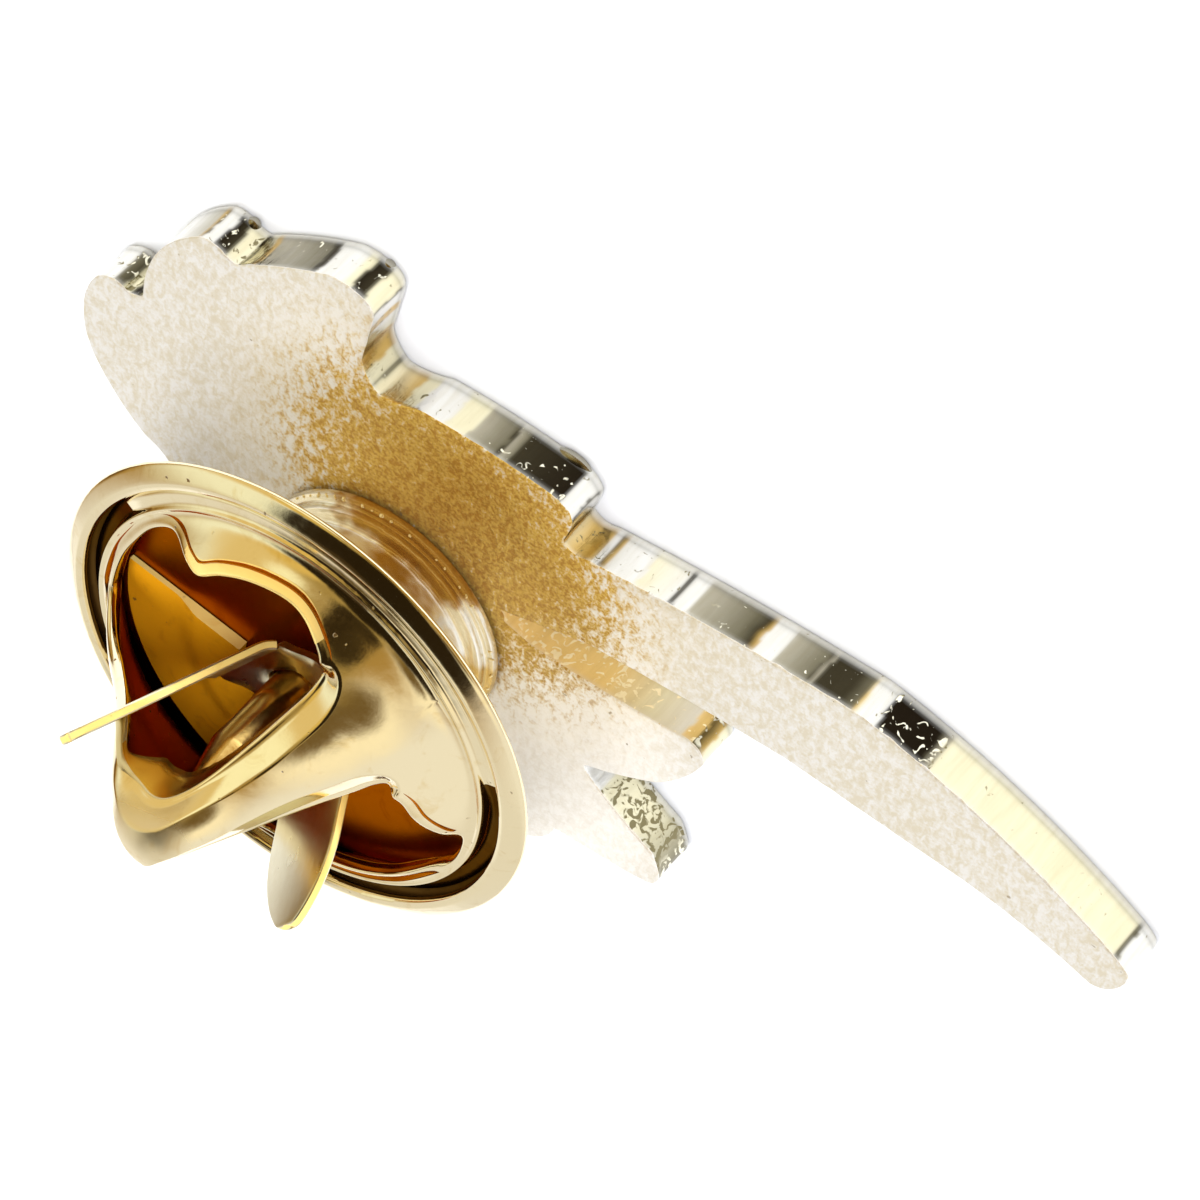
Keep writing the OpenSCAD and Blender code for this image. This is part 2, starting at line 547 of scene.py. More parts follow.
@dataclass(frozen=True)
class SandblastedFinish(Finish):
    """Matt pale gold with a blasted grain and dark specks, painted light that makes the lower part beside the
    clutch paler, and a golden-brown painted reflection of the clutch's underside.
    """
    name: str = "blasted_pale_gold"
    colour: Colour = (0.73, 0.72, 0.70)
    shade: Colour = (0.63, 0.58, 0.47)
    speck: Colour = (0.28, 0.22, 0.13)
    # These two colour the golden-brown painted reflection of the clutch's underside
    painted_reflection: Colour = (0.63, 0.42, 0.06)
    deep: Colour = (0.40, 0.20, 0.008)
    # Painted light: paler colours round lift_at, fading out from lift_near to lift_far
    lift: Colour = (0.92, 0.905, 0.87)
    lift_shade: Colour = (0.84, 0.81, 0.75)
    lift_at: Row = (2.6, -1.2, 1.2)
    lift_near: float = 3.4
    lift_far: float = 6.6
    # Centre and fade of the painted reflection
    glow_at: Row = (1.2, 3.6, 1.2)
    glow_near: float = 1.2
    glow_far: float = 6.8
    metallic: float = 0.6
    specular: float = 0.1
    roughness: float = 0.36
    grain_per_mm: float = 6.5
    grain_mm: float = 0.035
    specks_per_mm: float = 4.6
    patches_per_mm: float = 0.4

    def sockets(self, graph: Graph) -> dict:
        """Adds the nodes and returns the shader's inputs.

        Args:
            graph: the material's graph.

        Returns:
            Values or wires, by input.
        """
        place = graph.place()
        drawn = graph.stretch(place, (1.0, 0.55, 1.0))
        coarse = graph.noise(drawn, self.grain_per_mm * 0.9, 2.0, 0.6, 0.5)
        fine = graph.noise(place, self.grain_per_mm * 1.9, 2.0, 0.6, 0.3)
        patch = graph.noise(place, self.patches_per_mm, 2.0)
        specks = graph.noise(place, self.specks_per_mm, 1.0, 0.4).ramp(0.80, 0.83)
        grain = coarse * 0.62 + fine * 0.38
        pale = (grain * 5.0 + patch * 0.6 - 2.3).clamp()
        # Painted light: the plate is made paler round lift_at, beside the clutch
        painted_light = graph.measure("DISTANCE", place, self.lift_at).ramp(self.lift_far, self.lift_near)
        clear = graph.mix(painted_light, self.colour, self.lift)
        tint = graph.mix(pale, graph.mix(painted_light, self.shade, self.lift_shade), clear)
        # Painted reflection of the clutch's underside, golden brown, broken up by the grain
        near = graph.measure("DISTANCE", place, self.glow_at).ramp(self.glow_far, self.glow_near)
        painted_reflection = (near * 2.5 - 0.84 + (0.5 - grain) * 6.0).clamp() * (near * 1.8).clamp()
        brown = graph.mix((near * 0.9 - 0.42 + (0.5 - fine) * 4.0 + (0.5 - coarse) * 2.5).clamp(),
                          self.painted_reflection, self.deep)
        tint = graph.mix(painted_reflection * 0.92, tint, brown)
        tint = graph.mix(specks * 0.7, tint, self.speck)
        return {
            "Base Color": tint, "Metallic": self.metallic, "Specular IOR Level": self.specular,
            "Normal": graph.bump(grain, self.grain_mm),
            "Roughness": (self.roughness + (fine - 0.5) * 0.3).clamp()}


@dataclass(frozen=True)
class WallFinish(Finish):
    """Polished side walls: the tint attribute holds their painted reflection bands, and its alpha the share
    of flecks.
    """
    name: str = "polished_pale_gold"
    # Fleck colours: pale paints pebble highlights on dark bands, olive paints pebble shade on light bands;
    # the flecks are also bumped
    pale: Colour = (0.95, 0.91, 0.72)
    olive: Colour = (0.22, 0.19, 0.10)
    roughness: float = 0.16
    metallic: float = 1.0
    relief_mm: float = 0.012

    def sockets(self, graph: Graph) -> dict:
        """Adds the nodes and returns the shader's inputs.

        Args:
            graph: the material's graph.

        Returns:
            Values or wires, by input.
        """
        tint = graph.node("ShaderNodeAttribute", {"attribute_name": "tint"})
        coords = graph.out(graph.node("ShaderNodeUVMap", {"uv_map": "UVMap"}))
        flutes = graph.noise(graph.stretch(coords, (7.0, 0.7, 1.0)), 1.0, 3.0, 0.6)
        flecks = graph.noise(graph.stretch(coords, (4.0, 3.4, 1.0)), 1.3, 1.5, 0.5, 1.2)
        # Flecks: painted pebble highlight or shade, chosen by how light the band is
        light = graph.out(tint, "Fac").ramp(0.18, 0.35)
        chosen = ((flecks + graph.out(tint, "Alpha") * 0.17 - 0.70) * 16.0).clamp()
        colour = graph.mix(chosen, graph.out(tint, "Color"), graph.mix(light, self.pale, self.olive))
        streaks = graph.mix((flutes * 2.4 - 0.6).clamp(), (0.80, 0.76, 0.66), (1.0, 1.0, 1.0))
        colour = graph.mix(0.55, colour, streaks, "MULTIPLY")
        normal = graph.bump(flutes * 0.8 + flecks * 0.5, self.relief_mm)
        return {
            "Base Color": colour, "Metallic": self.metallic, "Normal": normal,
            "Roughness": (self.roughness + (flecks - 0.5) * 0.12).clamp()}


@dataclass(frozen=True)
class BrassFinish(Finish):
    """Polished brass gold with soft waves, stains, small pits and a crown that is worn less shiny."""
    name: str
    colour: Colour = (0.94, 0.82, 0.54)
    stain: Colour = (0.74, 0.52, 0.18)
    pit: Colour = (0.20, 0.09, 0.02)
    roughness: float = 0.11
    wave_mm: float = 0.016
    pits: float = 0.85
    metallic: float = 1.0
    edge: Colour = (1.0, 1.0, 1.0)
    crown_from: float = 8.6
    crown_to: float = 9.0

    def sockets(self, graph: Graph) -> dict:
        """Adds the nodes and returns the shader's inputs.

        Args:
            graph: the material's graph.

        Returns:
            Values or wires, by input.
        """
        place = graph.place()
        waves = graph.noise(place, 0.8, 2.0, 0.5, 0.4)
        fine = graph.noise(place, 10.0, 3.0, 0.6)
        stains = graph.noise(place, 1.7, 3.0, 0.6, 0.8).ramp(0.54, 0.76)
        cluster = graph.noise(place, 0.5, 1.0).ramp(0.5, 0.62)
        pits = graph.noise(place, 5.2, 1.5, 0.5).ramp(0.735, 0.765) * cluster
        tint = graph.mix(stains * 0.35, self.colour, self.stain)
        tint = graph.mix(pits * self.pits, tint, self.pit)
        height = waves + fine * 0.05 - pits * 0.6
        height_mm = graph.measure("DOT_PRODUCT", place, (0.0, 0.0, 1.0))
        worn = height_mm.ramp(self.crown_from, self.crown_to)
        return {
            "Base Color": tint, "Metallic": self.metallic, "Normal": graph.bump(height, self.wave_mm),
            "Specular Tint": (*self.edge, 1.0),
            "Roughness": (self.roughness + (fine - 0.5) * 0.12 + pits * 0.3 + worn * 0.3).clamp()}


@dataclass(frozen=True)
class NeckFinish(Finish):
    """Polished neck with painted reflections: amber towards +Y, pale on both sides of that, and gold on the
    far side.
    """
    name: str = "neck_painted_reflections"
    amber: Colour = (0.50, 0.29, 0.06)
    pale: Colour = (0.96, 0.94, 0.86)
    gold: Colour = (0.72, 0.52, 0.20)
    amber_side: Row = (0.12, 0.99, 0.0)
    metallic: float = 0.8
    relief_mm: float = 0.03

    def sockets(self, graph: Graph) -> dict:
        """Adds the nodes and returns the shader's inputs.

        Args:
            graph: the material's graph.

        Returns:
            Values or wires, by input.
        """
        place = graph.place()
        # Painted reflections: gold behind, pale at the sides, amber towards +Y
        side = graph.measure("DOT_PRODUCT", place, self.amber_side)
        blots = graph.noise(graph.stretch(place, (1.0, 1.0, 1.6)), 1.3, 2.0, 0.6)
        toward = side + (blots - 0.5) * 1.1
        tint = graph.mix(toward.ramp(0.7, 1.2), self.gold, self.pale)
        tint = graph.mix(toward.ramp(2.0, 2.4), tint, self.amber)
        fine = graph.noise(place, 9.0, 3.0, 0.6)
        return {
            "Base Color": tint, "Metallic": self.metallic,
            "Normal": graph.bump(blots + fine * 0.1, self.relief_mm),
            "Roughness": (fine * 0.2 + 0.12).clamp()}


@dataclass(frozen=True)
class SpringFinish(Finish):
    """Satin spring metal with a thin gold wash and drawn lines along it."""
    name: str = "satin_spring_metal"
    colour: Colour = (0.92, 0.89, 0.70)
    shade: Colour = (0.80, 0.73, 0.50)
    roughness: float = 0.30
    lines: Row = (9.0, 9.0, 1.2)
    relief_mm: float = 0.004

    def sockets(self, graph: Graph) -> dict:
        """Adds the nodes and returns the shader's inputs.

        Args:
            graph: the material's graph.

        Returns:
            Values or wires, by input.
        """
        place = graph.place()
        lines = graph.noise(graph.stretch(place, self.lines), 1.0, 3.0, 0.6)
        cloud = graph.noise(place, 1.1, 3.0)
        tint = graph.mix((lines * 0.5 + cloud * 0.8 - 0.3).clamp(), self.shade, self.colour)
        return {
            "Base Color": tint, "Metallic": 1.0, "Normal": graph.bump(lines, self.relief_mm),
            "Roughness": (self.roughness + (cloud - 0.5) * 0.2).clamp()}


FINISHES: dict[str, Finish] = {
    "back": SandblastedFinish(),
    "wall": WallFinish(),
    # Slot walls: painted reflection bands, and pale flecks as painted pebble highlights on their light bands
    "slot": WallFinish("slot_pale_gold", olive=(1.0, 0.90, 0.62), roughness=0.45, metallic=0.4),
    "front": BrassFinish("front_gold", (0.92, 0.84, 0.58)),
    "lump": BrassFinish("dark_lump", (0.34, 0.32, 0.26), (0.2, 0.17, 0.12), roughness=0.25),
    "burr": BrassFinish("bright_burr", (0.96, 0.88, 0.60), roughness=0.1),
    "post": BrassFinish("post_gold", (0.95, 0.66, 0.22), (0.5, 0.22, 0.03), roughness=0.2,
                        wave_mm=0.04),
    "brass": BrassFinish("clutch_gold"),
    # Painted shade: the inside of the cap sheet dark red
    "inside": BrassFinish("cap_inside", (0.50, 0.15, 0.008), (0.26, 0.07, 0.004), roughness=0.25,
                          edge=(0.8, 0.3, 0.03)),
    # Painted shade: the disc's floor inside the cap dark red brown
    "well": BrassFinish("cap_well", (0.42, 0.13, 0.006), (0.22, 0.06, 0.003), roughness=0.3,
                        edge=(0.6, 0.15, 0.01)),
    # Painted shade: the groove between the cap and the disc's rim near-black brown
    "groove": BrassFinish("groove_painted_shade", (0.14, 0.075, 0.02), (0.05, 0.025, 0.008), roughness=0.4,
                          edge=(0.4, 0.2, 0.05)),
    # Painted shade and amber light of the cap's inside, on the spring's leaves
    "leaf": BrassFinish("spring_leaf", (0.66, 0.29, 0.006), (0.34, 0.12, 0.003), roughness=0.4,
                        metallic=0.2, edge=(0.9, 0.5, 0.1)),
    # Painted shade: the windows' lip faces amber
    "lip": BrassFinish("lip_painted_shade", (0.86, 0.50, 0.07), (0.5, 0.2, 0.01), roughness=0.22),
    # Painted highlight: bright yellow on the cut edges of the leaves and wings
    "gilt": BrassFinish("edge_painted_highlight", (1.0, 0.74, 0.24), (0.8, 0.45, 0.08), roughness=0.3,
                        metallic=0.4),
    # Painted highlight: a bright yellow band on the first window's rolled edge
    "curl": BrassFinish("curl_painted_highlight", (1.0, 0.78, 0.30), (0.9, 0.6, 0.16), roughness=0.2,
                        metallic=0.7),
    "neck": NeckFinish(),
    "spring": SpringFinish(),
}


@dataclass
class BurrPath:
    """Small bright burrs that a Geometry Nodes tree sets along a line."""
    spacing: float
    size: float
    share: float
    seed: int

    NODES: ClassVar[dict[str, str]] = {
        "start": "NodeGroupInput", "end": "NodeGroupOutput", "curve": "GeometryNodeMeshToCurve",
        "even": "GeometryNodeResampleCurve", "chosen": "FunctionNodeRandomValue",
        "ball": "GeometryNodeMeshIcoSphere", "copies": "GeometryNodeInstanceOnPoints",
        "sizes": "FunctionNodeRandomValue", "turns": "FunctionNodeRandomValue",
        "real": "GeometryNodeRealizeInstances", "dress": "GeometryNodeSetMaterial"}
    # Each link's node and output, and the node and input that it goes to
    LINKS: ClassVar[list[tuple[str, str | int, str, str | int]]] = [
        ("start", "Geometry", "curve", 0), ("curve", 0, "even", "Curve"),
        ("start", "Spacing", "even", "Length"), ("even", 0, "copies", "Points"),
        ("start", "Share", "chosen", "Probability"), ("start", "Seed", "chosen", "Seed"),
        ("start", "Seed", "sizes", "Seed"), ("start", "Seed", "turns", "Seed"),
        ("start", "Size", "ball", "Radius"), ("ball", "Mesh", "copies", "Instance"),
        ("sizes", 0, "copies", "Scale"), ("turns", 0, "copies", "Rotation"),
        ("copies", 0, "real", 0), ("real", 0, "dress", "Geometry"),
        ("start", "Material", "dress", "Material"), ("dress", 0, "end", 0)]

    def tree(self) -> bpy.types.NodeTree:
        """Builds the tree once and returns it.

        Returns:
            The tree.
        """
        name = "burrs_along_line"
        if name in bpy.data.node_groups:
            return bpy.data.node_groups[name]
        group = bpy.data.node_groups.new(name, "GeometryNodeTree")
        face = group.interface
        face.new_socket("Geometry", in_out="OUTPUT", socket_type="NodeSocketGeometry")
        face.new_socket("Geometry", in_out="INPUT", socket_type="NodeSocketGeometry")
        for label, kind in (("Spacing", "Float"), ("Size", "Float"), ("Share", "Float"), ("Seed", "Int"),
                            ("Material", "Material")):
            face.new_socket(label, in_out="INPUT", socket_type=f"NodeSocket{kind}")
        made = {key: group.nodes.new(kind) for key, kind in self.NODES.items()}
        made["even"].mode = "LENGTH"
        made["chosen"].data_type = "BOOLEAN"
        made["sizes"].data_type = made["turns"].data_type = "FLOAT_VECTOR"
        made["sizes"].inputs[0].default_value = (0.4, 0.4, 0.4)
        made["sizes"].inputs[1].default_value = (1.5, 1.2, 1.0)
        made["turns"].inputs[1].default_value = (6.28, 6.28, 6.28)
        made["ball"].inputs["Subdivisions"].default_value = 2
        for source, output, target, entry in self.LINKS:
            group.links.new(made[source].outputs[output], made[target].inputs[entry])
        picked = next(s for s in made["chosen"].outputs if s.enabled)
        group.links.new(picked, made["copies"].inputs["Selection"])
        return group

    def build(self, name: str, line: np.ndarray, material: bpy.types.Material) -> bpy.types.Object:
        """Sets burrs along a closed line.

        Args:
            name: name of the piece.
            line: points of the line, in millimetres.
            material: finish of the burrs.

        Returns:
            A plain mesh object.
        """
        count = len(line)
        mesh = bpy.data.meshes.new(name + "_line")
        mesh.from_pydata((line * MM).tolist(), [(i, (i + 1) % count) for i in range(count)], [])
        carrier = add_object(name + "_line", mesh)
        modifier = carrier.modifiers.new("burrs", "NODES")
        modifier.node_group = self.tree()
        values = {"Spacing": self.spacing * MM, "Size": self.size * MM, "Share": self.share,
                  "Seed": self.seed, "Material": material}
        for item in modifier.node_group.interface.items_tree:
            if item.in_out == "INPUT" and item.name in values:
                modifier[item.identifier] = values[item.name]
        evaluated = carrier.evaluated_get(bpy.context.evaluated_depsgraph_get())
        solid = bpy.data.meshes.new_from_object(evaluated)
        solid.name = name
        solid.polygons.foreach_set("use_smooth", [True] * len(solid.polygons))
        bpy.data.objects.remove(carrier)
        return add_object(name, solid)


def settle(piece: bpy.types.Object, body: Body, slot: Slot, node: str) -> None:
    """Ties a piece to its body and hides the CAD node that it replaces.

    Args:
        piece: the object.
        body: the body that it rides on.
        slot: its material slot in the record; not used.
        node: the node that it replaces.
    """
    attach(piece, body.value)
    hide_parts(node)
    LOG.info("%s: %d faces on %s", piece.name, len(piece.data.polygons), body.value)


@dataclass
class Plate:
    """The cut-out plate with its soldered post."""
    thickness: float = 1.2
    front_r: float = 0.2
    back_r: float = 0.035
    step: float = 0.055
    post_r: float = 0.55
    post_top: float = 7.8
    point: float = 1.5
    # How far the outline is inside the CAD's, and how deep the edge's chips and the walls' waves are
    inset: float = 0.012
    chip: float = 0.06
    long_wave: float = 0.016
    short_wave: float = 0.009
    # Rows of quads over the back edge, the wall and the front edge
    back_rows: int = 4
    wall_rows: int = 14
    front_rows: int = 6
    net_pitch: float = 0.35
    burr_in: float = 0.035
    burr_down: float = 0.045
    # Height of the lumps' middle, half their height, and how deep they sit in the plate
    lump_z: float = 0.16
    lump_half: float = 0.15
    lump_root: float = 0.1
    KEYS: ClassVar[tuple[str, ...]] = ("back", "wall", "front", "slot")

    OUTLINE: ClassVar[list[Row]] = [
        (-8.12, 2.35, 0.14), (-7.98, 3.55, 0.28), (-7.42, 3.96, 0.12), (-7.12, 3.84, -0.25),
        (-6.76, 4.05, 0.26), (-5.60, 6.92, 0.22), (-5.05, 6.86, -0.10), (-4.72, 6.78, 0.06),
        (-2.65, 8.25, 0.16), (-1.75, 8.22, 0.30), (-1.50, 7.85, 0.00), (-1.60, 6.50, -0.18),
        (-1.12, 5.84, -0.12), (-0.15, 6.18, 0.05), (3.12, 6.32, 0.20), (3.62, 5.92, 0.05),
        (3.50, 5.22, -0.40), (4.05, 5.15, 0.03), (10.40, 6.02, 0.09), (16.65, 4.18, 0.10),
        (17.18, 3.80, 0.20), (16.95, 3.10, 0.20), (16.50, 2.86, -0.06), (13.60, 3.34, 0.00),
        (9.20, 3.34, -0.02), (4.60, 2.74, 0.00), (2.50, 1.96, 0.60), (2.62, 1.70, 0.00),
        (3.30, 1.55, -0.04), (7.10, 1.96, 0.38), (7.62, 1.50, 0.12), (6.75, 0.00, 0.05),
        (5.10, -1.00, 0.60), (5.16, -1.12, -0.05), (7.05, -2.27, 0.10), (7.38, -2.92, 0.35),
        (7.05, -3.34, 0.02), (4.85, -3.62, 0.25), (4.30, -4.45, 0.12), (2.60, -5.60, 0.12),
        (-0.40, -5.70, 0.12), (-3.40, -4.10, 0.08), (-5.40, -0.75, -0.25), (-6.20, -0.18, 0.10),
        (-7.55, 1.02, 0.16)]
    # Painted reflection bands of the walls: where each starts along the outline, tones at its start and end,
    # share of flecks
    BANDS: ClassVar[list[tuple[float, Tone, Tone, float]]] = [
        (0.00, WHITE, WHITE, 0.1), (1.02, DARK, OLIVE, 0.2), (1.24, WHITE, WHITE, 0.2),
        (1.85, OLIVE, DARK, 0.5), (2.12, PALE, PALE, 0.6), (2.30, BLACK, DARK, 0.7),
        (2.72, PALE, GOLD, 0.5), (3.10, PALE, PALE, 0.1), (4.55, WHITE, HAZE, 0.0),
        (5.78, GOLD, DARK, 0.2), (5.93, WHITE, WHITE, 0.2), (6.20, BLACK, DARK, 0.6),
        (6.52, PALE, PALE, 0.5), (6.88, DARK, OLIVE, 0.2), (6.96, PALE, PALE, 0.1),
        (7.20, GOLD, GOLD, 0.3), (7.34, HAZE, OLIVE, 0.1), (8.82, DARK, DARK, 0.1),
        (9.00, WHITE, WHITE, 0.0), (9.66, PALE, PALE, 0.3), (9.84, BLACK, DARK, 0.3),
        (10.18, PALE, PALE, 0.1), (10.62, DARK, DARK, 0.1), (10.68, WHITE, WHITE, 0.1),
        (11.05, GOLD, GOLD, 0.4), (11.28, WHITE, PALE, 0.2), (11.80, GOLD, GOLD, 0.1),
        (12.42, PALE, PALE, 0.0), (12.70, OLIVE, OLIVE, 0.0), (12.78, PALE, GOLD, 0.1),
        (13.46, PALE, PALE, 0.3), (13.80, WHITE, WHITE, 0.0), (14.52, PALE, PALE, 0.1),
        (15.02, HAZE, OLIVE, 0.0), (15.70, DARK, DARK, 0.1), (15.78, HAZE, OLIVE, 0.3),
        (16.02, DARK, BLACK, 0.35), (17.32, WHITE, WHITE, 0.1), (17.78, DARK, DARK, 0.0),
        (17.86, WHITE, WHITE, 0.1), (18.30, PALE, GOLD, 0.3), (18.85, GOLD, GOLD, 0.2),
        (19.25, WHITE, WHITE, 0.1), (19.42, DARK, GOLD, 0.2), (19.58, WHITE, WHITE, 0.2),
        (20.30, PALE, WHITE, 0.4), (21.06, BLACK, DARK, 0.1), (21.18, WHITE, WHITE, 0.0),
        (21.56, HAZE, OLIVE, 0.0), (22.62, OLIVE, DARK, 0.1), (22.92, DARK, GOLD, 0.0),
        (23.06, WHITE, WHITE, 0.0), (23.52, HAZE, OLIVE, 0.1), (24.30, DARK, HAZE, 0.2),
        (24.44, DARK, DARK, 0.2), (25.05, DARK, OLIVE, 0.1), (25.40, GOLD, PALE, 0.0),
        (25.48, WHITE, WHITE, 0.1), (25.90, BLACK, BLACK, 0.55), (27.00, DARK, HAZE, 0.6),
        (27.25, PALE, PALE, 0.0), (32.22, DARK, OLIVE, 0.1), (32.34, WHITE, WHITE, 0.0),
        (34.00, PALE, PALE, 0.0), (38.00, WHITE, PALE, 0.1), (43.50, GILT, GILT, 0.7),
        (47.50, GILT, GILT, 0.8), (50.90, GILT, PALE, 0.8), (52.00, PALE, WHITE, 0.2),
        (52.90, GILT, GOLD, 0.5), (53.20, DARK, GOLD, 0.5), (53.50, PALE, PALE, 0.2),
        (53.92, DARK, OLIVE, 0.0), (54.00, WHITE, WHITE, 0.0), (58.10, PALE, PALE, 1.2),
        (59.10, PALE, OLIVE, 1.4), (60.55, PALE, WHITE, 0.1), (64.00, WHITE, PALE, 0.1),
        (67.00, HAZE, OLIVE, 0.2), (69.50, WHITE, PALE, 0.1), (73.00, PALE, HAZE, 0.2),
        (75.50, DARK, OLIVE, 0.3), (76.60, WHITE, PALE, 0.1), (79.00, HAZE, PALE, 0.1)]
    # Part of the outline inside the narrow slot
    SLOT: ClassVar[tuple[float, float]] = (43.5, 53.15)
    # Small lumps at the front edge: distance along the outline, half-length and reach in millimetres
    LUMPS: ClassVar[list[Row]] = [(6.45, 0.17, 0.09), (10.06, 0.16, 0.02), (16.95, 0.42, 0.09)]

    def outline(self) -> np.ndarray:
        """Returns the outline, clockwise from above, a hair inside the CAD plate's.

        Returns:
            Points of the outline.
        """
        loop = closed_outline(self.OUTLINE, self.step)
        loop = soften(even_spacing(loop, len(loop)), 2)
        return loop - loop_normals(loop) * self.inset

    def course(self) -> tuple[np.ndarray, np.ndarray, np.ndarray]:
        """Returns the outline, its directions outwards and the distances along it."""
        loop = self.outline()
        return loop, loop_normals(soften(loop, 6)), distances(loop)

    def tints(self, along: np.ndarray, up: np.ndarray) -> np.ndarray:
        """Returns the walls' painted reflection colours, with a painted highlight on both rounded edges and a
        thin painted dark line above the front one, and their share of flecks, from the table of bands.

        Args:
            along: distances along the outline.
            up: heights of the grid's rows.

        Returns:
            Rows by columns by 4.
        """
        starts = np.array([row[0] for row in self.BANDS])
        ends = np.append(starts[1:], along[-1])
        first = np.array([(*row[1].value, row[3]) for row in self.BANDS])
        last = np.array([(*row[2].value, row[3]) for row in self.BANDS])
        result = np.zeros((len(up), len(along), 4))
        for j, height in enumerate(up):
            shift = np.array([0.06 * ripple(s * 1.7, height * 2.0, Wave.WALL)
                              + 0.02 * ripple(s * 6.0, height * 4.0, Wave.WALL) for s in along])
            at = np.clip(along + shift, 0.0, along[-1] - 0.001)
            band = np.searchsorted(starts, at, "right") - 1
            share = ((at - starts[band]) / (ends - starts)[band])[:, None]
            result[j] = first[band] * (1 - share) + last[band] * share
            # Painted highlight: the rounded front and back edges are moved towards white
            edge = float(smooth_step(height, self.front_r + 0.03, self.front_r - 0.02))
            edge = max(edge, float(smooth_step(height, self.thickness - 0.05, self.thickness - 0.02)))
            result[j] += (np.array([*WHITE.value, 0.1]) - result[j]) * edge * 0.8
            # Painted dark line just above the front edge's rounding
            thin = math.exp(-((height - self.front_r - 0.06) / 0.03) ** 2)
            result[j, :, :3] *= 1 - 0.45 * thin
        result = (np.roll(result, 1, 1) + 5 * result + np.roll(result, -1, 1)) / 7
        result[1:-1] = (result[:-2] + 4 * result[1:-1] + result[2:]) / 6
        return result

    def body_draft(self) -> MeshDraft:
        """Builds the plate without its post.

        Returns:
            The plate's draft.
        """
        draft = MeshDraft()
        loop, out, along = self.course()
        count = len(loop)
        rows = []
        chips = np.array([max(0.0, ripple(s * 2.3, 4.0, Wave.WALL)) ** 1.5 for s in along[:-1]])
        radius = self.back_r + self.chip * chips
        for k in range(self.back_rows + 1):
            angle = math.pi / 2 - math.pi / 2 * k / self.back_rows
            inset = radius * (1 - math.cos(angle))
            rows.append(np.column_stack([loop - out * inset[:, None],
                                         self.thickness - radius * (1 - math.sin(angle))]))
        top, low = self.thickness - self.back_r - 0.03, self.front_r
        for k in range(1, self.wall_rows):
            share = k / self.wall_rows
            height = top - (top - low) * share
            wave = np.array([
                self.long_wave * (1 + ripple(s * 0.9, 0.3 * height, Wave.WALL))
                + self.short_wave * (1 + ripple(s * 4.5, height * 1.2, Wave.WALL)) for s in along[:-1]])
            fade = math.sin(math.pi * share) ** 0.5
            rows.append(np.column_stack([loop - out * (wave * fade)[:, None], np.full(count, height)]))
        for k in range(self.front_rows + 1):
            angle = math.pi / 2 * k / self.front_rows
            inset = self.front_r * (1 - math.cos(angle))
            height = self.front_r * (1 - math.sin(angle))
            rows.append(np.column_stack([loop - out * inset, np.full(count, height)]))
        grid = np.array(rows)
        up = grid[:, :, 2].mean(1)
        uv = np.zeros((len(grid), count + 1, 2))
        uv[:, :, 0] = along
        uv[:, :, 1] = up[:, None]
        marks = np.full((len(grid) - 1, count), self.KEYS.index("wall"))
        marks[:, (self.SLOT[0] < along[:-1]) & (along[:-1] < self.SLOT[1])] = self.KEYS.index("slot")
        marks[:self.back_rows] = self.KEYS.index("back")
        first = draft.grid(grid, marks, uv, self.tints(along, up))
        self.fill_face(draft, grid[0])
        last = first + (len(grid) - 1) * count
        draft.add_face(list(range(last, last + count)), self.KEYS.index("front"))
        return draft

    def lumps_draft(self) -> MeshDraft:
        """Builds the small lumps of plating on the front edge.

        Returns:
            The lumps' draft.
        """
        draft = MeshDraft()
        loop, out, along = self.course()
        sides, rings = 24, 12
        for at, half, reach in self.LUMPS:
            spot, away = (np.array([np.interp(at, along[:-1], values[:, k]) for k in range(2)])
                          for values in (loop, out))
            course = np.array([-away[1], away[0]])
            grid = np.zeros((rings + 1, sides, 3))
            for j in range(rings + 1):
                tilt = math.pi * j / rings
                for i in range(sides):
                    turn = 2 * math.pi * i / sides
                    x, y, z = math.cos(tilt), math.sin(tilt) * math.cos(turn), math.sin(tilt) * math.sin(turn)
                    outward = y * (reach + self.lump_root) - self.lump_root
                    grid[j, i, :2] = spot + course * half * x + away * outward
                    grid[j, i, 2] = self.lump_z + self.lump_half * z
            draft.grid(grid)
        return draft

    def fill_face(self, draft: MeshDraft, ring: np.ndarray) -> None:
        """Fills the back with an even net of triangles.

        Args:
            draft: the plate's draft.
            ring: points of the back's border.
        """
        pitch = self.net_pitch
        xs = np.arange(ring[:, 0].min(), ring[:, 0].max(), pitch)
        ys = np.arange(ring[:, 1].min(), ring[:, 1].max(), pitch * 0.87)
        seeds = []
        for j, y in enumerate(ys):
            for x in xs + (pitch / 2 if j % 2 else 0.0):
                gap = np.hypot(ring[:, 0] - x, ring[:, 1] - y).min()
                if gap > pitch * 0.45:
                    seeds.append((x, y))
        flat = [Vector(p) for p in ring[:, :2]] + [Vector(p) for p in seeds]
        count = len(ring)
        edges = [(i, (i + 1) % count) for i in range(count)]
        verts, _, faces, _, _, _ = delaunay_2d_cdt(flat, edges, [], 1, 1e-6)
        points = np.array([[v.x, v.y, self.thickness] for v in verts])
        points[:count, 2] = ring[:, 2]
        base = draft.add_points(points)
        for face in faces:
            draft.add_face([base + i for i in face], self.KEYS.index("back"))

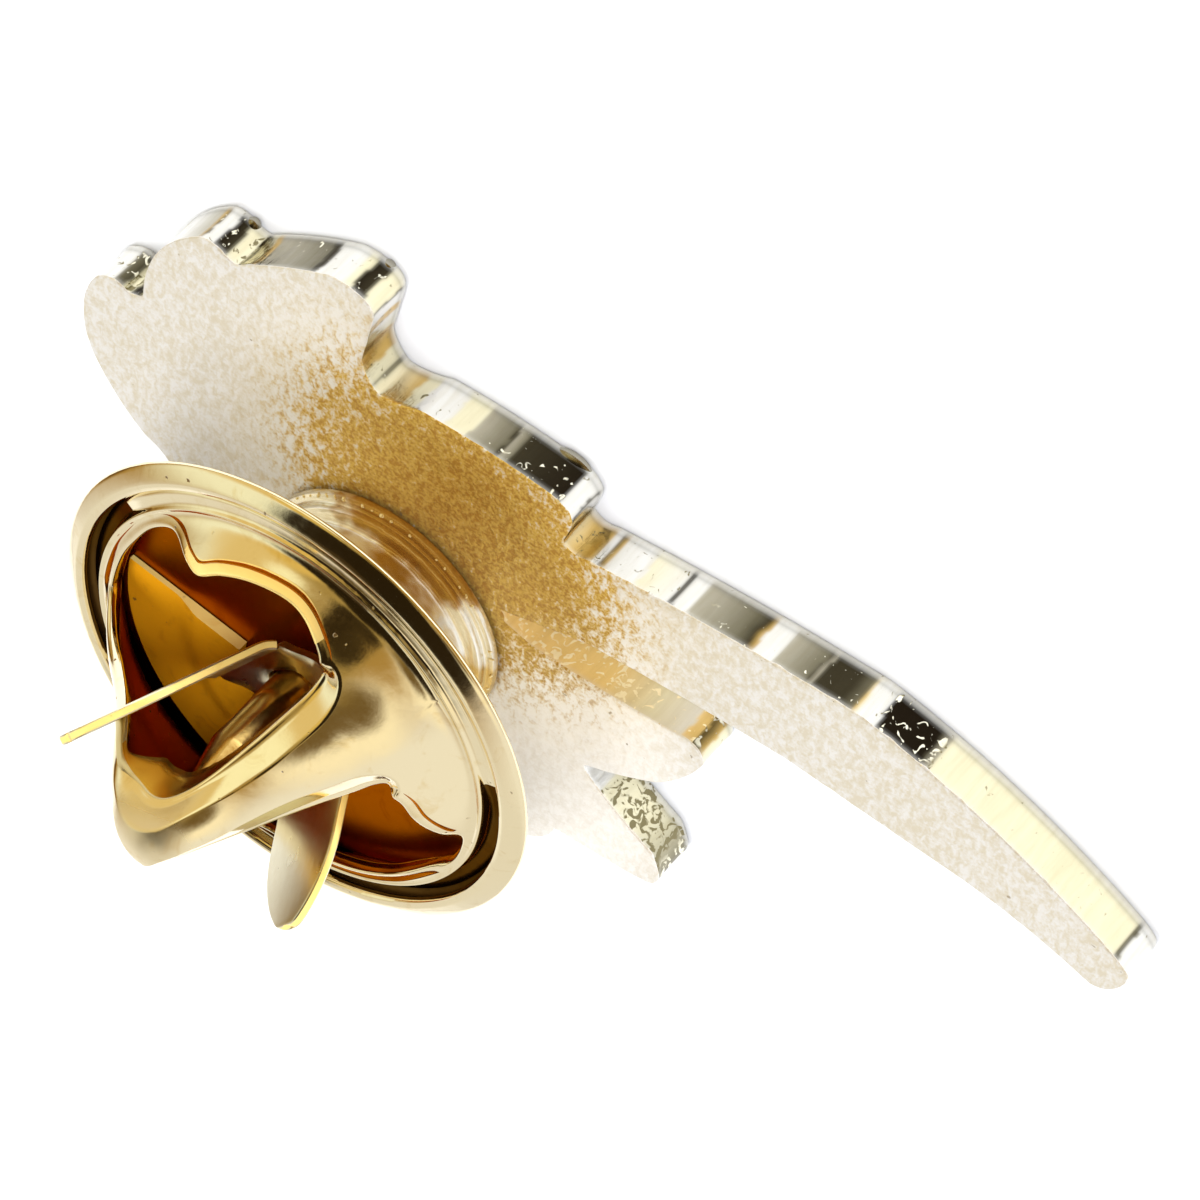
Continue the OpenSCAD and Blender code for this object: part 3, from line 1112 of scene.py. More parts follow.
    def post_draft(self) -> MeshDraft:
        """Builds the post, with a thin collar of solder at its foot.

        Returns:
            The post's draft.
        """
        draft = MeshDraft()
        low = self.thickness
        r = self.post_r
        line = [(0.0, low - 0.3), (r + 0.05, low - 0.3), (r + 0.055, low + 0.005), (r + 0.02, low + 0.03),
                (r, low + 0.07), (r, self.post_top - self.point - 0.05),
                (r - 0.015, self.post_top - self.point + 0.02)]
        tip = [(0.19, self.post_top - 0.10), (0.13, self.post_top - 0.03), (0.06, self.post_top - 0.006),
               (0.0, self.post_top - 0.001)]
        draft.revolve(np.array(line + tip), 64, closed=False)
        return draft

    def build(self, finishes: dict[str, bpy.types.Material]) -> None:
        """Builds the plate, its post and the burrs on its edges.

        Args:
            finishes: the materials, by their keys.
        """
        plate = self.body_draft().piece("plate", [finishes[key] for key in self.KEYS])
        settle(plate, Body.BADGE, Slot.PLATE, "badge_plate")
        lumps = self.lumps_draft().piece("edge_lumps", [finishes["lump"]])
        settle(lumps, Body.BADGE, Slot.PLATE, "badge_plate")
        loop, out, _ = self.course()
        height = self.thickness - self.burr_down
        edge = np.column_stack([loop - out * self.burr_in, np.full(len(loop), height)])
        burrs = BurrPath(0.13, 0.034, 0.5, 7).build("back_edge_burrs", edge, finishes["burr"])
        settle(burrs, Body.BADGE, Slot.PLATE, "badge_plate")
        post = self.post_draft().piece("post", [finishes["post"]])
        settle(post, Body.BADGE, Slot.PLATE, "badge_plate")


@dataclass
class ClutchBase:
    """The back disc with its rolled rim and the ringed neck."""
    sides: int = 320
    rim_z: float = 4.2
    disc_r: float = 5.75
    neck_r: float = 2.35
    foot_r: float = 2.85
    bore_r: float = 0.62
    foot_z: float = 1.25
    well_r: float = 4.6
    KEYS: ClassVar[tuple[str, ...]] = ("brass", "well", "neck", "groove")

    def section(self) -> np.ndarray:
        """Returns the closed section: radius and height.

        Returns:
            Points of the section.
        """
        foot = self.foot_z - self.rim_z
        d, n, f = self.disc_r - 0.004, self.neck_r, self.foot_r
        rows = [
            (self.bore_r, foot, 0), (f - 0.08, foot, 0.4), (f, foot + 0.08, 0.0), (f, foot + 0.15, 0.4),
            (f - 0.07, foot + 0.22, 0.0), (f - 0.13, foot + 0.22, -0.3), (f - 0.19, foot + 0.26, 0.0),
            (f - 0.19, foot + 0.37, 0.4), (f - 0.27, foot + 0.45, 0.0), (n + 0.1, foot + 0.46, -0.3),
            (n, foot + 0.56, 0.0), (n - 0.02, -1.6, 0.0), (n, -0.86, -0.4), (n + 0.42, -0.44, 0.0),
            (4.60, -0.44, 0.1), (d - 0.34, -0.12, 0.12), (d - 0.08, 0.0, 0.15), (d - 0.01, 0.07, 0.25),
            (d - 0.04, 0.15, 0.04), (d - 0.35, 0.33, 0.2), (d - 0.44, 0.34, 0.04), (d - 0.52, 0.32, 0.4),
            (d - 0.54, 0.14, -0.2), (d - 0.36, 0.0, -0.35), (d - 0.62, -0.2, 0.0), (self.bore_r, -0.2, 0),
            (self.bore_r, -0.44, 0.0), (n - 0.3, -0.44, 0.0), (n - 0.3, foot + 0.3, 0.0),
            (self.bore_r, foot + 0.3, 0.0)]
        flipped = [(r, h, -b) for r, h, b in rows]
        loop = closed_outline(flipped, 0.09)
        return loop + np.array([0.0, self.rim_z])

    def waver(self, angle: float, height: float) -> float:
        """Returns the rolled metal's small radial error."""
        x, y = 1.6 * math.cos(angle), 1.6 * math.sin(angle)
        return -0.008 * (1 + ripple(x * 2.0, y * 2.0 + height, Wave.BASE))

    def build(self, finishes: dict[str, bpy.types.Material]) -> None:
        """Builds the base and the burrs on the neck's foot.

        Args:
            finishes: the materials, by their keys.
        """
        draft = MeshDraft()
        draft.revolve(self.section(), self.sides, self.waver)
        floor_z = self.rim_z - 0.19
        for k, face in enumerate(draft.faces):
            corners = np.array([draft.points[0][i] for i in face])
            radius = np.hypot(corners[:, 0], corners[:, 1])
            # Painted shade: the disc's floor under the cap takes the dark well finish, and its outer ring the
            # darker groove finish
            if radius.max() < self.disc_r - 0.3 and floor_z - 0.02 < corners[:, 2].mean() < self.rim_z + 0.1:
                draft.slots[k] = self.KEYS.index("well" if radius.min() < self.well_r else "groove")
            if radius.max() < self.foot_r + 0.05 and corners[:, 2].max() < self.rim_z - 0.6:
                draft.slots[k] = self.KEYS.index("neck")
        disc = draft.piece("clutch_disc", [finishes[key] for key in self.KEYS])
        settle(disc, Body.CLUTCH, Slot.CLUTCH, "clutch_base")
        ring = (self.foot_r - 0.06) * on_circle(full_turn(180))
        line = np.column_stack([ring, np.full(len(ring), self.foot_z + 0.2)])
        burrs = BurrPath(0.24, 0.06, 0.5, 12).build("neck_ring_burrs", line, finishes["burr"])
        settle(burrs, Body.CLUTCH, Slot.CLUTCH, "clutch_base")


@dataclass
class ClutchCap:
    """The domed cap with its strap, its two arched windows and their curled edges."""
    turn_deg: float = 134.4
    rim_z: float = 4.2
    sheet: float = 0.27
    foot_r: float = 4.68
    roll: float = 0.2
    lip: float = 0.12
    strap_lip: float = 0.8
    facet: float = 0.24
    facet_drop: float = 0.44
    shelf: float = 0.13
    shelf_drop: float = 0.04
    circle_steps: int = 180
    strap_steps: int = 90
    # First row of the flange that shows painted shade, and how open the groove is there at least
    dark_rows: int = 5
    dark_gap: float = 0.35
    # Grid rows of a window's lip, and the row where its rolled edge ends
    lip_rows: int = 3
    curl_rows: int = 13
    # Where the lip takes amber painted shade and the curl a gilt painted highlight, in the cap's own
    # directions
    lip_out: float = 1.5
    lip_half: float = 2.4
    curl_out: float = 2.1
    curl_near: float = 0.45
    window_mid: tuple[float, float] = (2.65, 0.1)
    # Direction and half-width of each stretch where the groove round the cap is open, in degrees
    GAPS: ClassVar[tuple[tuple[float, float], ...]] = ((182.0, 30.0), (332.0, 44.0))
    # The sheet's inner side takes the key after the outer side's, mostly the inside finish of painted shade
    KEYS: ClassVar[tuple[str, ...]] = ("brass", "inside", "groove", "lip", "curl", "inside")

    DOME: ClassVar[list[Row]] = [
        (0.0, 5.1, 0.236), (1.0, 4.6, 0.08), (2.0, 3.35, -0.07), (3.5, 1.6, 0.08), (4.5, 0.32, -0.1),
        (4.8, 0.30, 0.0)]
    FLANGE: ClassVar[list[tuple[float, float]]] = [
        (4.72, 0.33), (4.75, 0.34), (4.775, 0.325), (4.79, 0.29), (4.795, 0.23), (4.80, 0.14),
        (4.81, 0.04), (4.83, -0.03), (4.88, -0.05), (5.0, -0.05), (5.15, -0.05)]
    # Window edges in the cap's own directions: away from the post, and towards the near end of the strap
    WINDOW_A: ClassVar[list[tuple[float, float]]] = [
        (2.92, -3.13), (3.12, -2.97), (3.45, -2.60), (3.75, -2.20), (4.02, -1.68), (4.30, -0.95),
        (4.36, -0.30), (4.24, 0.10), (3.92, 0.50), (3.70, 0.86), (3.62, 1.40), (3.42, 1.98),
        (3.08, 2.54), (2.70, 2.92), (2.22, 3.14), (1.66, 3.20), (1.24, 2.84), (0.97, 2.22),
        (0.78, 1.62), (0.66, 1.05), (0.66, 0.62), (0.78, 0.25), (1.05, -0.15), (1.36, -0.55),
        (1.56, -0.92), (1.68, -1.26), (1.78, -1.60), (1.86, -1.95), (1.98, -2.32), (2.16, -2.72),
        (2.45, -3.02)]
    WINDOW_B: ClassVar[list[tuple[float, float]]] = [
        (0.76, 1.55), (0.98, 2.10), (1.14, 2.60), (1.20, 2.90), (1.40, 3.13), (1.74, 3.16),
        (2.22, 3.02), (2.70, 2.91), (3.09, 2.84), (3.40, 2.86), (3.84, 2.42), (4.10, 1.96),
        (4.12, 1.45), (4.18, 0.80), (4.28, -0.10), (4.20, -0.95), (3.95, -1.75), (3.60, -2.40),
        (3.20, -2.88), (2.85, -3.02), (2.50, -2.90), (2.20, -2.50), (2.00, -2.00), (1.78, -1.66),
        (1.50, -1.30), (1.20, -0.90), (0.92, -0.45), (0.72, 0.05), (0.62, 0.55), (0.65, 1.05)]

    def height_table(self) -> tuple[np.ndarray, np.ndarray]:
        """Returns radii and smoothed heights of the dome above the rim's ring.

        Returns:
            The radii, and the heights at them.
        """
        line = open_line(self.DOME, 0.03)
        radii = np.arange(0.0, 4.74, 0.02)
        heights = np.interp(radii, line[:, 0], line[:, 1])
        mirrored = np.concatenate([heights[::-1], heights, np.full(60, heights[-1])])
        kernel = np.exp(-0.5 * (np.arange(-18, 19) / 6.0) ** 2)
        smoothed = np.convolve(mirrored, kernel / kernel.sum(), "same")
        return radii, smoothed[len(heights):2 * len(heights)]

    def window_curve(self, rows: Sequence[tuple[float, float]]) -> np.ndarray:
        """Returns a dense closed curve through a window's points.

        Args:
            rows: the window's points.

        Returns:
            Points of the curve.
        """
        points = np.array(rows, float)
        count = len(points)
        out = []
        for i in range(count):
            p0, p1, p2, p3 = (points[(i + k - 1) % count] for k in range(4))
            for t in np.linspace(0, 1, 14, endpoint=False):
                out.append(0.5 * (2 * p1 + (p2 - p0) * t + (2 * p0 - 5 * p1 + 4 * p2 - p3) * t * t
                                  + (3 * p1 - p0 - 3 * p2 + p3) * t ** 3))
        return soften(even_spacing(np.array(out), 720), 6)

    def gap(self, angles: np.ndarray) -> np.ndarray:
        """Returns how far the groove round the cap is open, at each angle about the post.

        Args:
            angles: angles about the post, in radians.

        Returns:
            Shares from 0, closed, to 1, open.
        """
        share = np.zeros(len(angles))
        for centre, half in self.GAPS:
            off = np.abs((np.degrees(angles) - centre + 180.0) % 360.0 - 180.0)
            share = np.maximum(share, 1.0 - smooth_step(off, half - 14.0, half + 10.0))
        return share

    def border(self) -> np.ndarray:
        """Returns the border of one half: round the dome's foot, then back along the strap's middle.

        Returns:
            Points of the border.
        """
        angles = np.linspace(-math.pi / 2, math.pi / 2, self.circle_steps, endpoint=False)
        circle = self.foot_r * on_circle(angles)
        down = np.linspace(self.foot_r, -self.foot_r, self.strap_steps, endpoint=False)
        return np.vstack([circle, np.stack([np.zeros(self.strap_steps), down], 1)])

    def edge_profiles(self) -> tuple[list[tuple[float, ...]], list[Row]]:
        """Returns two sections of a window's edge, point by point.

        Returns:
            The plain rolled edge and the strap's folded edge: distance from the window, drop below the
            dome, and how far the drop is jagged. The plain edge's rows also have the distance and drop
            that its shelf adds.
        """
        plain, folded = [], []
        tight = 0.07
        for share in (1.0, 0.66, 0.33):
            plain.append((0.0, self.roll + self.lip * share, 0.012 * share, 0.0, self.shelf_drop))
            folded.append((0.0, self.facet_drop + tight + self.strap_lip * share, 0.10 * share))
        for k in range(7):
            angle = math.pi / 2 * (1 - k / 6)
            plain.append((self.roll * (1 - math.sin(angle)), self.roll * (1 - math.cos(angle)), 0.0, 0.0,
                          self.shelf_drop))
        for k in range(1, 5):
            share = k / 4
            plain.append((self.roll + 0.06 * share, 0.0, 0.0, self.shelf * share,
                          self.shelf_drop * (1 - share)))
        for k in range(5):
            angle = math.pi / 2 * (1 - k / 4)
            drop = self.facet_drop + tight * (1 - math.cos(angle))
            folded.append((tight * (1 - math.sin(angle)), drop, 0.0))
        for k in range(1, 7):
            share = k / 6
            folded.append((tight + self.facet * share, self.facet_drop * (1 - share), 0.0))
        return plain, folded

    def half(self, rows: Sequence[tuple[float, float]], side: float) -> np.ndarray:
        """Builds one half of the dome round its window.

        Args:
            rows: the window's points.
            side: 1 for the first window, -1 for the second.

        Returns:
            Grid rows from the lip's lower edge out to the border, in the cap's own directions.
        """
        radii, heights = self.height_table()
        curve = self.window_curve(rows)
        middle = np.array(self.window_mid)
        border = self.border()
        offset = curve - middle
        angle = np.unwrap(np.arctan2(offset[:, 1], offset[:, 0]))
        order = np.argsort(angle)
        want = np.arctan2(border[:, 1] - middle[1], border[:, 0] - middle[0])
        want = np.mod(want - angle[order][0], 2 * math.pi) + angle[order][0]
        edge = np.stack([np.interp(want, angle[order], curve[order, k], period=2 * math.pi)
                         for k in range(2)], 1)
        out = loop_normals(soften(edge, 3))
        if np.sum(out * (edge - middle)) < 0:
            out = -out
        out = soften(out, 4)
        out /= np.linalg.norm(out, axis=1)[:, None]
        strap = smooth_step(-out[:, 0], 0.1, 0.85)
        shelf = np.zeros(len(edge))
        if side > 0:
            strap *= 1.0 - smooth_step(-edge[:, 1], -0.1, 0.7)
            shelf = smooth_step(edge[:, 1], 0.2, 0.8) * smooth_step(edge[:, 0], 1.9, 2.8)
        jag = np.array([ripple(i * 0.31, side, Wave.LIP) + 0.6 * ripple(i * 0.9, side + 3, Wave.LIP)
                        for i in range(len(edge))])
        room = np.linalg.norm(border - edge, axis=1)
        grid = []

        def level(plan: np.ndarray, drop: np.ndarray) -> np.ndarray:
            """Puts plan points on the dome, lowered by drop.

            Args:
                plan: points seen from above.
                drop: how far each is lowered.

            Returns:
                The points with their heights.
            """
            h = np.interp(np.hypot(plan[:, 0], plan[:, 1]), radii, heights) - drop
            bumps = np.array([0.012 * ripple(side * x * 0.8, y * 0.8, Wave.CAP) for x, y in plan])
            return np.column_stack([plan, h + bumps])

        plain, folded = self.edge_profiles()
        widen = 1.0 + 0.9 * smooth_step(np.abs(edge[:, 1] - 0.5), 0.4, 1.7)
        reach = np.minimum(1.0, 0.5 * room / self.roll) * (1 - strap) + np.minimum(
            1.0, 0.75 * room / ((self.facet + 0.1) * widen)) * strap
        for (d0, h0, j0, d2, h2), (d1, h1, j1) in zip(plain, folded):
            distance = ((d0 * (1 - 0.4 * shelf) + d2 * shelf) * (1 - strap) + d1 * strap * widen) * reach
            drop = (h0 + h2 * shelf) * (1 - strap) + h1 * strap + jag * (j0 * (1 - strap) + j1 * strap ** 3)
            grid.append(level(edge + out * distance[:, None], drop))
        start = edge + out * distance[:, None]
        for k in range(1, 15):
            share = (k / 14) ** 1.15
            grid.append(level(start + (border - start) * share, np.zeros(len(edge))))
        return np.array(grid)

    def build(self, finishes: dict[str, bpy.types.Material]) -> None:
        """Builds the cap as one sheet with a real thickness.

        Args:
            finishes: the materials, by their keys.
        """
        draft = MeshDraft()
        turn = math.radians(self.turn_deg)
        away = np.array([math.cos(turn), math.sin(turn)])
        near = np.array([math.cos(turn - math.pi / 2), math.sin(turn - math.pi / 2)])

        def to_part(points: np.ndarray, side: float) -> np.ndarray:
            """Turns the cap's own directions into the part's."""
            plan = side * points[..., :1] * away + points[..., 1:2] * near
            return np.concatenate([plan, points[..., 2:3] + self.rim_z], -1)

        for rows, side in ((self.WINDOW_A, 1.0), (self.WINDOW_B, -1.0)):
            half = self.half(rows, side)
            row, out, near_by = np.arange(len(half) - 1)[:, None], half[:-1, :, 0], half[:-1, :, 1]
            marks = np.zeros(out.shape, int)
            # Painted shade on the lip's first rows, and a painted highlight on the first window's rolled edge
            amber = (row < self.lip_rows) & (out < self.lip_out) & (np.abs(near_by) < self.lip_half)
            marks[amber] = self.KEYS.index("lip")
            rolled = (row >= self.lip_rows) & (row < self.curl_rows) & (side > 0)
            marks[rolled & (out > self.curl_out) & (near_by > self.curl_near)] = self.KEYS.index("curl")
            draft.grid(to_part(half, side), marks)
        radii, heights = self.height_table()
        foot_h = float(np.interp(self.foot_r, radii, heights))
        sides = 2 * self.circle_steps
        angles = full_turn(sides) + turn - math.pi / 2
        ring = [(self.foot_r, foot_h)] + self.FLANGE
        rows_out = np.zeros((len(ring), sides, 3))
        gap = self.gap(angles)
        tight = len(ring) - 8
        for j, (radius, height) in enumerate(ring):
            lift = (0.32 - 0.12 * max(0, j - tight) / 8.0 - height) * (1 - gap) if j > tight else 0.0
            reach = radius * (1 + 0.003 * np.array([ripple(3.0 * math.cos(a), 3.0 * math.sin(a), Wave.LIP)
                                                    for a in angles]) * (j >= tight))
            rows_out[j, :, :2] = reach[:, None] * on_circle(angles)
            rows_out[j, :, 2] = height + lift + self.rim_z
        marks = np.zeros((len(ring) - 1, sides), int)
        # Painted shade: where the groove is open, the flange's outer rows take the dark groove finish
        marks[self.dark_rows:, gap > self.dark_gap] = self.KEYS.index("groove")
        draft.grid(rows_out, marks)
        cap = draft.piece("clutch_dome", [finishes[key] for key in self.KEYS], sharp_deg=60.0, merge=0.02)
        solid = cap.modifiers.new("sheet", "SOLIDIFY")
        solid.material_offset = 1
        solid.thickness = self.sheet * MM
        solid.offset = -1.0
        solid.use_even_offset = False
        solid.use_quality_normals = True
        settle(cap, Body.CLUTCH, Slot.CLUTCH, "clutch_cap")


@dataclass
class Spring:
    """The spring strip across the post and the two wings."""
    turn_deg: float = 150.4
    half_w: float = 1.325
    sheet: float = 0.2
    fold_r: float = 1.2
    fold_z: float = 4.72
    leaf_from_deg: float = 175.0
    leaf_to_deg: float = 246.0
    leaf_inner: float = 1.42
    leaf_outer: float = 4.36
    leaf_top: float = 4.25
    leaf_low: float = 4.02
    leaf_step: float = 0.15
    strip_z: float = 4.24
    strip_rise: float = 0.40
    wing_tip: float = 1.9
    root_bend_deg: float = 26.0
    root_length: float = 0.55
    hole_r: float = 0.62
    # Columns of a wing's section that show the cut edge of the metal
    EDGES: ClassVar[list[int]] = [8, 9, 10, 18, 19, 0]
    # Each wing's name, node, body, lean, length and turn from the first one's direction
    WINGS: ClassVar[list[tuple[str, str, Body, float, float, float]]] = [
        ("spring_wing_a", "wing_a", Body.WING_A, 17.0, 4.32, 0.0),
        ("spring_wing_b", "wing_b", Body.WING_B, 31.0, 3.68, 180.0)]

    def section(self, half_w: float) -> np.ndarray:
        """Returns a rounded flat section: across and through the metal, 20 points.

        Args:
            half_w: half the section's width.

        Returns:
            Points of the section.
        """
        r = min(0.06, half_w * 0.8, self.sheet * 0.45)
        points = []
        for cx, cy, first in ((1, 1, 0), (-1, 1, 90), (-1, -1, 180), (1, -1, 270)):
            for k in range(5):
                angle = math.radians(first + 90 * k / 4)
                points.append((cx * (half_w - r) + r * math.cos(angle),
                               cy * (self.sheet / 2 - r) + r * math.sin(angle)))
        return np.array(points)

    def wing_widths(self, length: float) -> tuple[np.ndarray, np.ndarray]:
        """Returns lengths and half-widths along a wing, closer together at its round tip.

        Args:
            length: length from the fold to the tip.

        Returns:
            The lengths, and half-widths at them.
        """
        w, tip = self.half_w, self.wing_tip
        rows = [(w, length - tip, 0.24), (0.35 * w, length, 0.30), (0.0, length + 0.05, 0.0)]
        line = open_line([(x, y, -b) for x, y, b in rows], 0.08)
        straight = np.linspace(0, length - tip, 24)[:-1]
        return (np.concatenate([straight, line[:, 1]]),
                np.concatenate([np.full(23, w), np.maximum(line[:, 0], 0.02)]))

    def wing(self, lean_deg: float, length: float, turn_deg: float) -> MeshDraft:
        """Builds one wing, which bends at its root and leans outwards.

        Args:
            lean_deg: lean from upright.
            length: length from the fold to the tip.
            turn_deg: direction from the post.

        Returns:
            The wing's draft.
        """
        draft = MeshDraft()
        along, widths = self.wing_widths(length)
        away, across, up = directions(turn_deg)
        spot = away * (self.fold_r - 0.02) + up * (self.fold_z - 0.06)
        rows, last = [], 0.0
        for s, w in zip(along, widths):
            bend = self.root_bend_deg * (1 - float(smooth_step(np.array(s), 0.0, self.root_length)))
            angle = math.radians(lean_deg + bend)
            course = away * math.sin(angle) + up * math.cos(angle)
            face = away * math.cos(angle) - up * math.sin(angle)
            spot = spot + course * (s - last)
            last = s
            section = self.section(w)
            rows.append(spot + section[:, :1] * across + section[:, 1:] * face)
        grid = np.array(rows)
        marks = np.zeros((len(grid) - 1, grid.shape[1]), int)
        # The cut edges take the painted highlight finish
        marks[:, self.EDGES] = 1
        draft.tube(grid, marks)
        return draft

    def strip(self) -> MeshDraft:
        """Builds the strip across the post, low in the middle and rising to both folds.

        Returns:
            The strip's draft.
        """
        draft = MeshDraft()
        away, across, up = directions(self.turn_deg)
        angles = full_turn(96)
        reach = self.fold_r - 0.08
        inner = self.hole_r * on_circle(angles)
        scale = np.minimum(reach / np.maximum(np.abs(np.cos(angles)), 1e-6),
                           self.half_w / np.maximum(np.abs(np.sin(angles)), 1e-6))
        outer = scale[:, None] * on_circle(angles)

        def lift(plan: np.ndarray, under: float) -> np.ndarray:
            """Puts plan points on the strip's top, lowered by under."""
            rise = self.strip_z + self.strip_rise * smooth_step(np.abs(plan[:, 0]), 0.25, 1.2) - under
            return (plan[:, :1] * away + plan[:, 1:] * across) + rise[:, None] * up

        rows = [lift(inner, self.sheet - 0.03)]
        for share, under in ((0.0, 0.03), (0.03, 0.0), (0.3, 0.0), (0.6, 0.0), (0.95, 0.0), (1.0, 0.03),
                             (1.0, self.sheet - 0.03), (0.97, self.sheet), (0.5, self.sheet),
                             (0.04, self.sheet), (0.0, self.sheet - 0.03)):
            rows.append(lift(inner + (outer - inner) * share, under))
        draft.grid(np.array(rows))
        return draft

    def leaves(self) -> MeshDraft:
        """Builds the two flat leaves of the spring that lie on the disc's floor.

        Returns:
            The leaves' draft.
        """
        draft = MeshDraft()
        first, last = math.radians(self.leaf_from_deg), math.radians(self.leaf_to_deg)
        angles = np.linspace(first, last, 29)
        for half_turn in (0.0, math.pi):
            grid = []
            for radius in np.linspace(self.leaf_inner, self.leaf_outer, 25):
                share = (radius - self.leaf_inner) / (self.leaf_outer - self.leaf_inner)
                top = self.leaf_top - self.leaf_step * float(smooth_step(np.array(share), 0.35, 0.6))
                curl = 0.03 * np.exp(-((angles - first) / 0.12) ** 2)
                upper = [(radius * math.cos(a + half_turn), radius * math.sin(a + half_turn), top + c)
                         for a, c in zip(angles, curl)]
                lower = [(x, y, self.leaf_low) for x, y, _ in reversed(upper)]
                grid.append(upper + lower)
            rows = np.array(grid)
            marks = np.zeros((len(rows) - 1, rows.shape[1]), int)
            # The leaf's raised edge at its first angle takes the painted highlight finish
            marks[:, -1] = 1
            draft.tube(rows, marks)
        return draft

    def build(self, finishes: dict[str, bpy.types.Material]) -> None:
        """Builds the strip, its leaves and both wings.

        Args:
            finishes: the materials, by their keys.
        """
        strip = self.strip().piece("spring_strip", [finishes["spring"]])
        settle(strip, Body.CLUTCH, Slot.SPRING, "spring_saddle")
        # The leaves take painted shade and amber light, and a painted highlight on one edge
        leaves = self.leaves().piece("spring_leaves", [finishes["leaf"], finishes["gilt"]])
        settle(leaves, Body.CLUTCH, Slot.SPRING, "spring_saddle")
        for name, node, body, lean, length, turn in self.WINGS:
            wing = self.wing(lean, length, self.turn_deg + turn)
            wing_piece = wing.piece(name, [finishes["spring"], finishes["gilt"]])
            settle(wing_piece, body, Slot.SPRING, node)


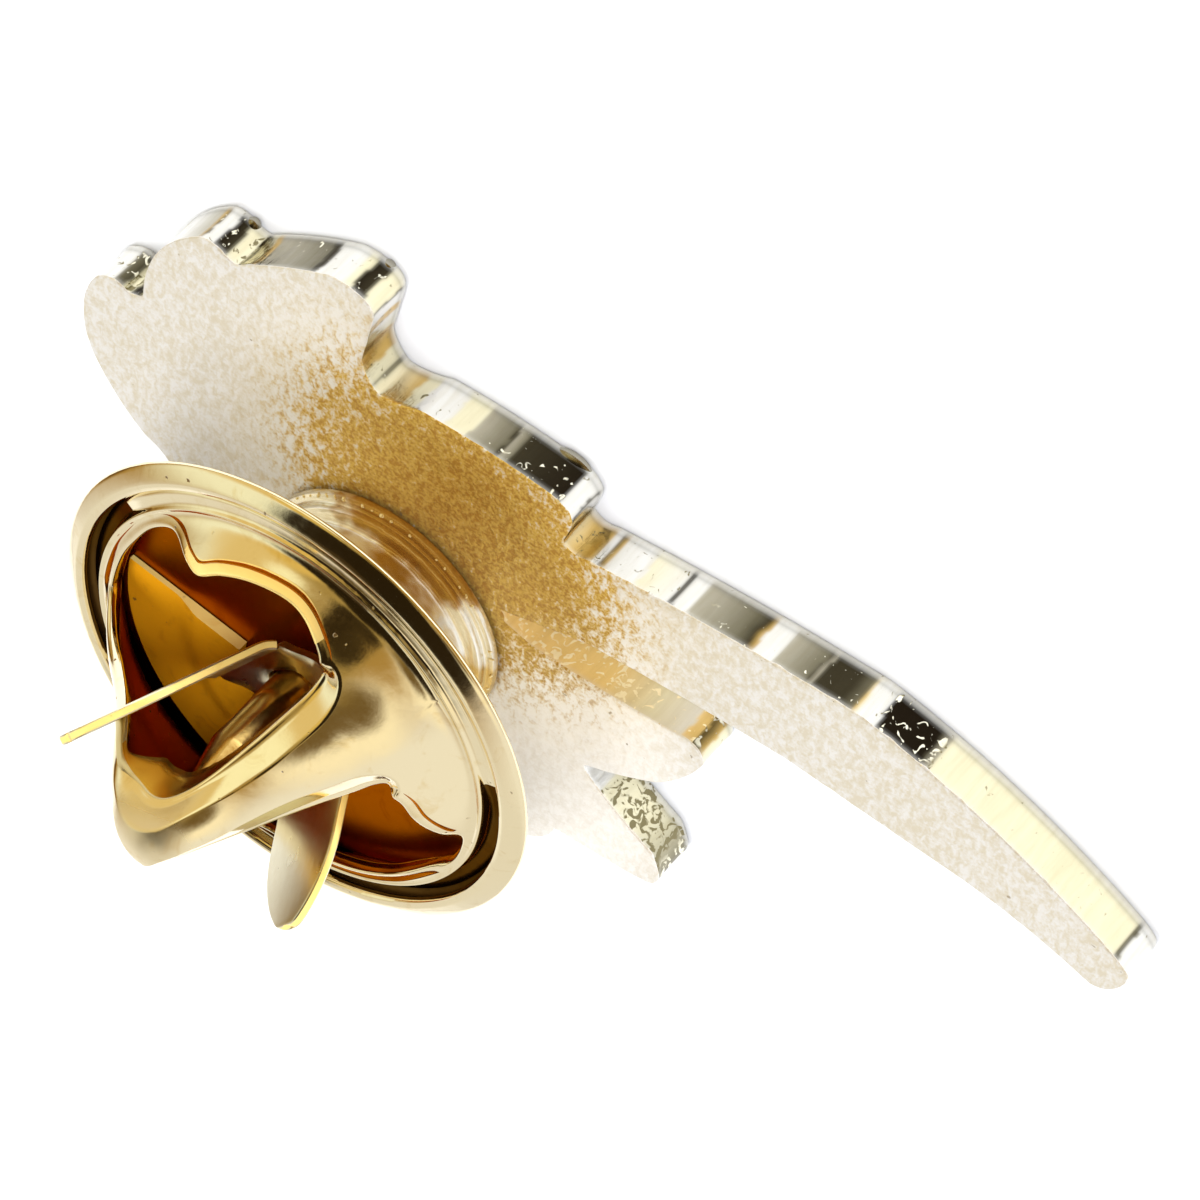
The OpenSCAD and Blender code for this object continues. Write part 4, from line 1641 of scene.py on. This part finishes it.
@dataclass
class Studio:
    """Pale floor, soft light and the camera."""
    camera_mm: Row = (33.097, 98.1814, 63.9041)
    camera_turn: tuple[float, float, float, float] = (0.8533173, -0.4149135, 0.2420782, 0.202718)
    lens: float = 180.0
    sensor: float = 36.0
    backdrop: Colour = (0.42, 0.26, 0.07)
    floor_half: float = 400.0
    floor_colour: Colour = (0.76, 0.79, 0.86)
    floor_rough: float = 0.9
    lamps_aim: Row = (4.0, 2.0, 2.0)
    # Lights and shades of the surroundings, each over those before it: azimuth, elevation, inner and
    # outer degrees, and colour
    LOBES: ClassVar[list[tuple[float, float, float, float, Colour]]] = [
        (331.0, 20.0, 22.0, 57.0, (0.92, 0.91, 0.90)), (17.0, 53.0, 6.0, 25.0, (1.08, 1.00, 0.80)),
        (29.0, 54.0, 5.0, 15.0, (0.16, 0.10, 0.03)), (152.0, 50.0, 22.0, 52.0, (0.95, 0.97, 0.82)),
        (262.0, 22.0, 30.0, 52.0, (0.82, 0.80, 0.77)), (250.0, 2.0, 10.0, 26.0, (1.10, 1.10, 1.12)),
        (250.0, 56.0, 3.0, 13.0, (0.12, 0.08, 0.03)), (134.0, 32.0, 14.0, 37.0, (0.78, 0.60, 0.27)),
        (88.0, 56.0, 12.0, 33.0, (0.40, 0.28, 0.09)), (204.0, 5.0, 4.0, 14.0, (0.16, 0.08, 0.02)),
        (117.0, 24.0, 9.0, 17.0, (1.05, 1.02, 0.72)), (130.0, 52.0, 7.0, 16.0, (0.74, 0.52, 0.15)),
        (90.0, 88.0, 22.0, 31.0, (0.02, 0.012, 0.004)), (78.0, 63.0, 8.0, 15.0, (0.02, 0.012, 0.004)),
        (79.0, 40.0, 7.0, 11.0, (0.03, 0.018, 0.006)), (66.0, 43.0, 6.0, 10.0, (0.04, 0.025, 0.008)),
        (272.0, 63.0, 6.0, 12.0, (0.96, 0.92, 0.80)), (221.0, 74.0, 3.0, 8.0, (0.05, 0.03, 0.01))]

    def floor(self) -> None:
        """Lays the plain floor."""
        draft = MeshDraft()
        corners = [(-1, -1, 0), (1, -1, 0), (1, 1, 0), (-1, 1, 0)]
        draft.add_points(self.floor_half * np.array(corners, float))
        draft.add_face([0, 1, 2, 3], 0)
        material = bpy.data.materials.new("pale_floor")
        Graph(material).surface({"Base Color": (*self.floor_colour, 1.0), "Roughness": self.floor_rough})
        ground = draft.piece("floor", [material])

    def camera(self) -> None:
        """Sets the camera where the photograph was taken from."""
        data = bpy.data.cameras.new("camera")
        data.lens = self.lens
        data.sensor_width = self.sensor
        data.clip_start = 0.005
        eye = add_object("camera", data)
        eye.location = Vector(self.camera_mm) * MM
        eye.rotation_mode = "QUATERNION"
        eye.rotation_quaternion = Quaternion(self.camera_turn)
        bpy.context.scene.camera = eye

    def sky(self) -> None:
        """Surrounds the badge with a brown ground colour and soft lobes of light and shade over it."""
        world = bpy.data.worlds.new("studio")
        bpy.context.scene.world = world
        graph = Graph(world)
        ray = graph.out(graph.node("ShaderNodeTexCoord"), "Generated")
        light: Wire | Colour = self.backdrop
        for azimuth, elevation, inner, outer, colour in self.LOBES:
            a, e = math.radians(azimuth), math.radians(elevation)
            aim = (math.cos(e) * math.cos(a), math.cos(e) * math.sin(a), math.sin(e))
            dot = graph.measure("DOT_PRODUCT", ray, aim)
            share = dot.ramp(math.cos(math.radians(outer)), math.cos(math.radians(inner)))
            light = graph.mix(share, light, colour)
        ground = graph.node("ShaderNodeBackground", None, {"Color": light, "Strength": 1.0})
        graph.node("ShaderNodeOutputWorld", None, {"Surface": graph.out(ground)})

    def lamp(self, name: str, place: Row, size: float, energy: float) -> None:
        """Hangs a soft square lamp that points at the badge.

        Args:
            name: its name.
            place: its place, in millimetres.
            size: its width, in millimetres.
            energy: its power, in watts.
        """
        data = bpy.data.lights.new(name, "AREA")
        data.size = size * MM
        data.energy = energy
        lamp = add_object(name, data)
        lamp.location = Vector(place) * MM
        lamp.visible_glossy = False
        lamp.rotation_mode = "QUATERNION"
        aim = Vector(self.lamps_aim) * MM - lamp.location
        lamp.rotation_quaternion = aim.to_track_quat("-Z", "Y")

    def build(self) -> None:
        """Sets up the whole studio."""
        self.floor()
        self.camera()
        self.sky()
        self.lamp("overhead", (-10.0, -30.0, 260.0), 160.0, 0.62)
        self.lamp("fill", (75.0, 175.0, 150.0), 90.0, 0.6)
        bpy.context.scene.view_settings.view_transform = "Standard"


def main() -> None:
    """Builds the badge and its studio."""
    logging.basicConfig(level=logging.INFO, format="%(name)s %(message)s")
    finishes = {key: finish.build() for key, finish in FINISHES.items()}
    Plate().build(finishes)
    ClutchBase().build(finishes)
    ClutchCap().build(finishes)
    Spring().build(finishes)
    Studio().build()


if __name__ == "__main__":
    main()
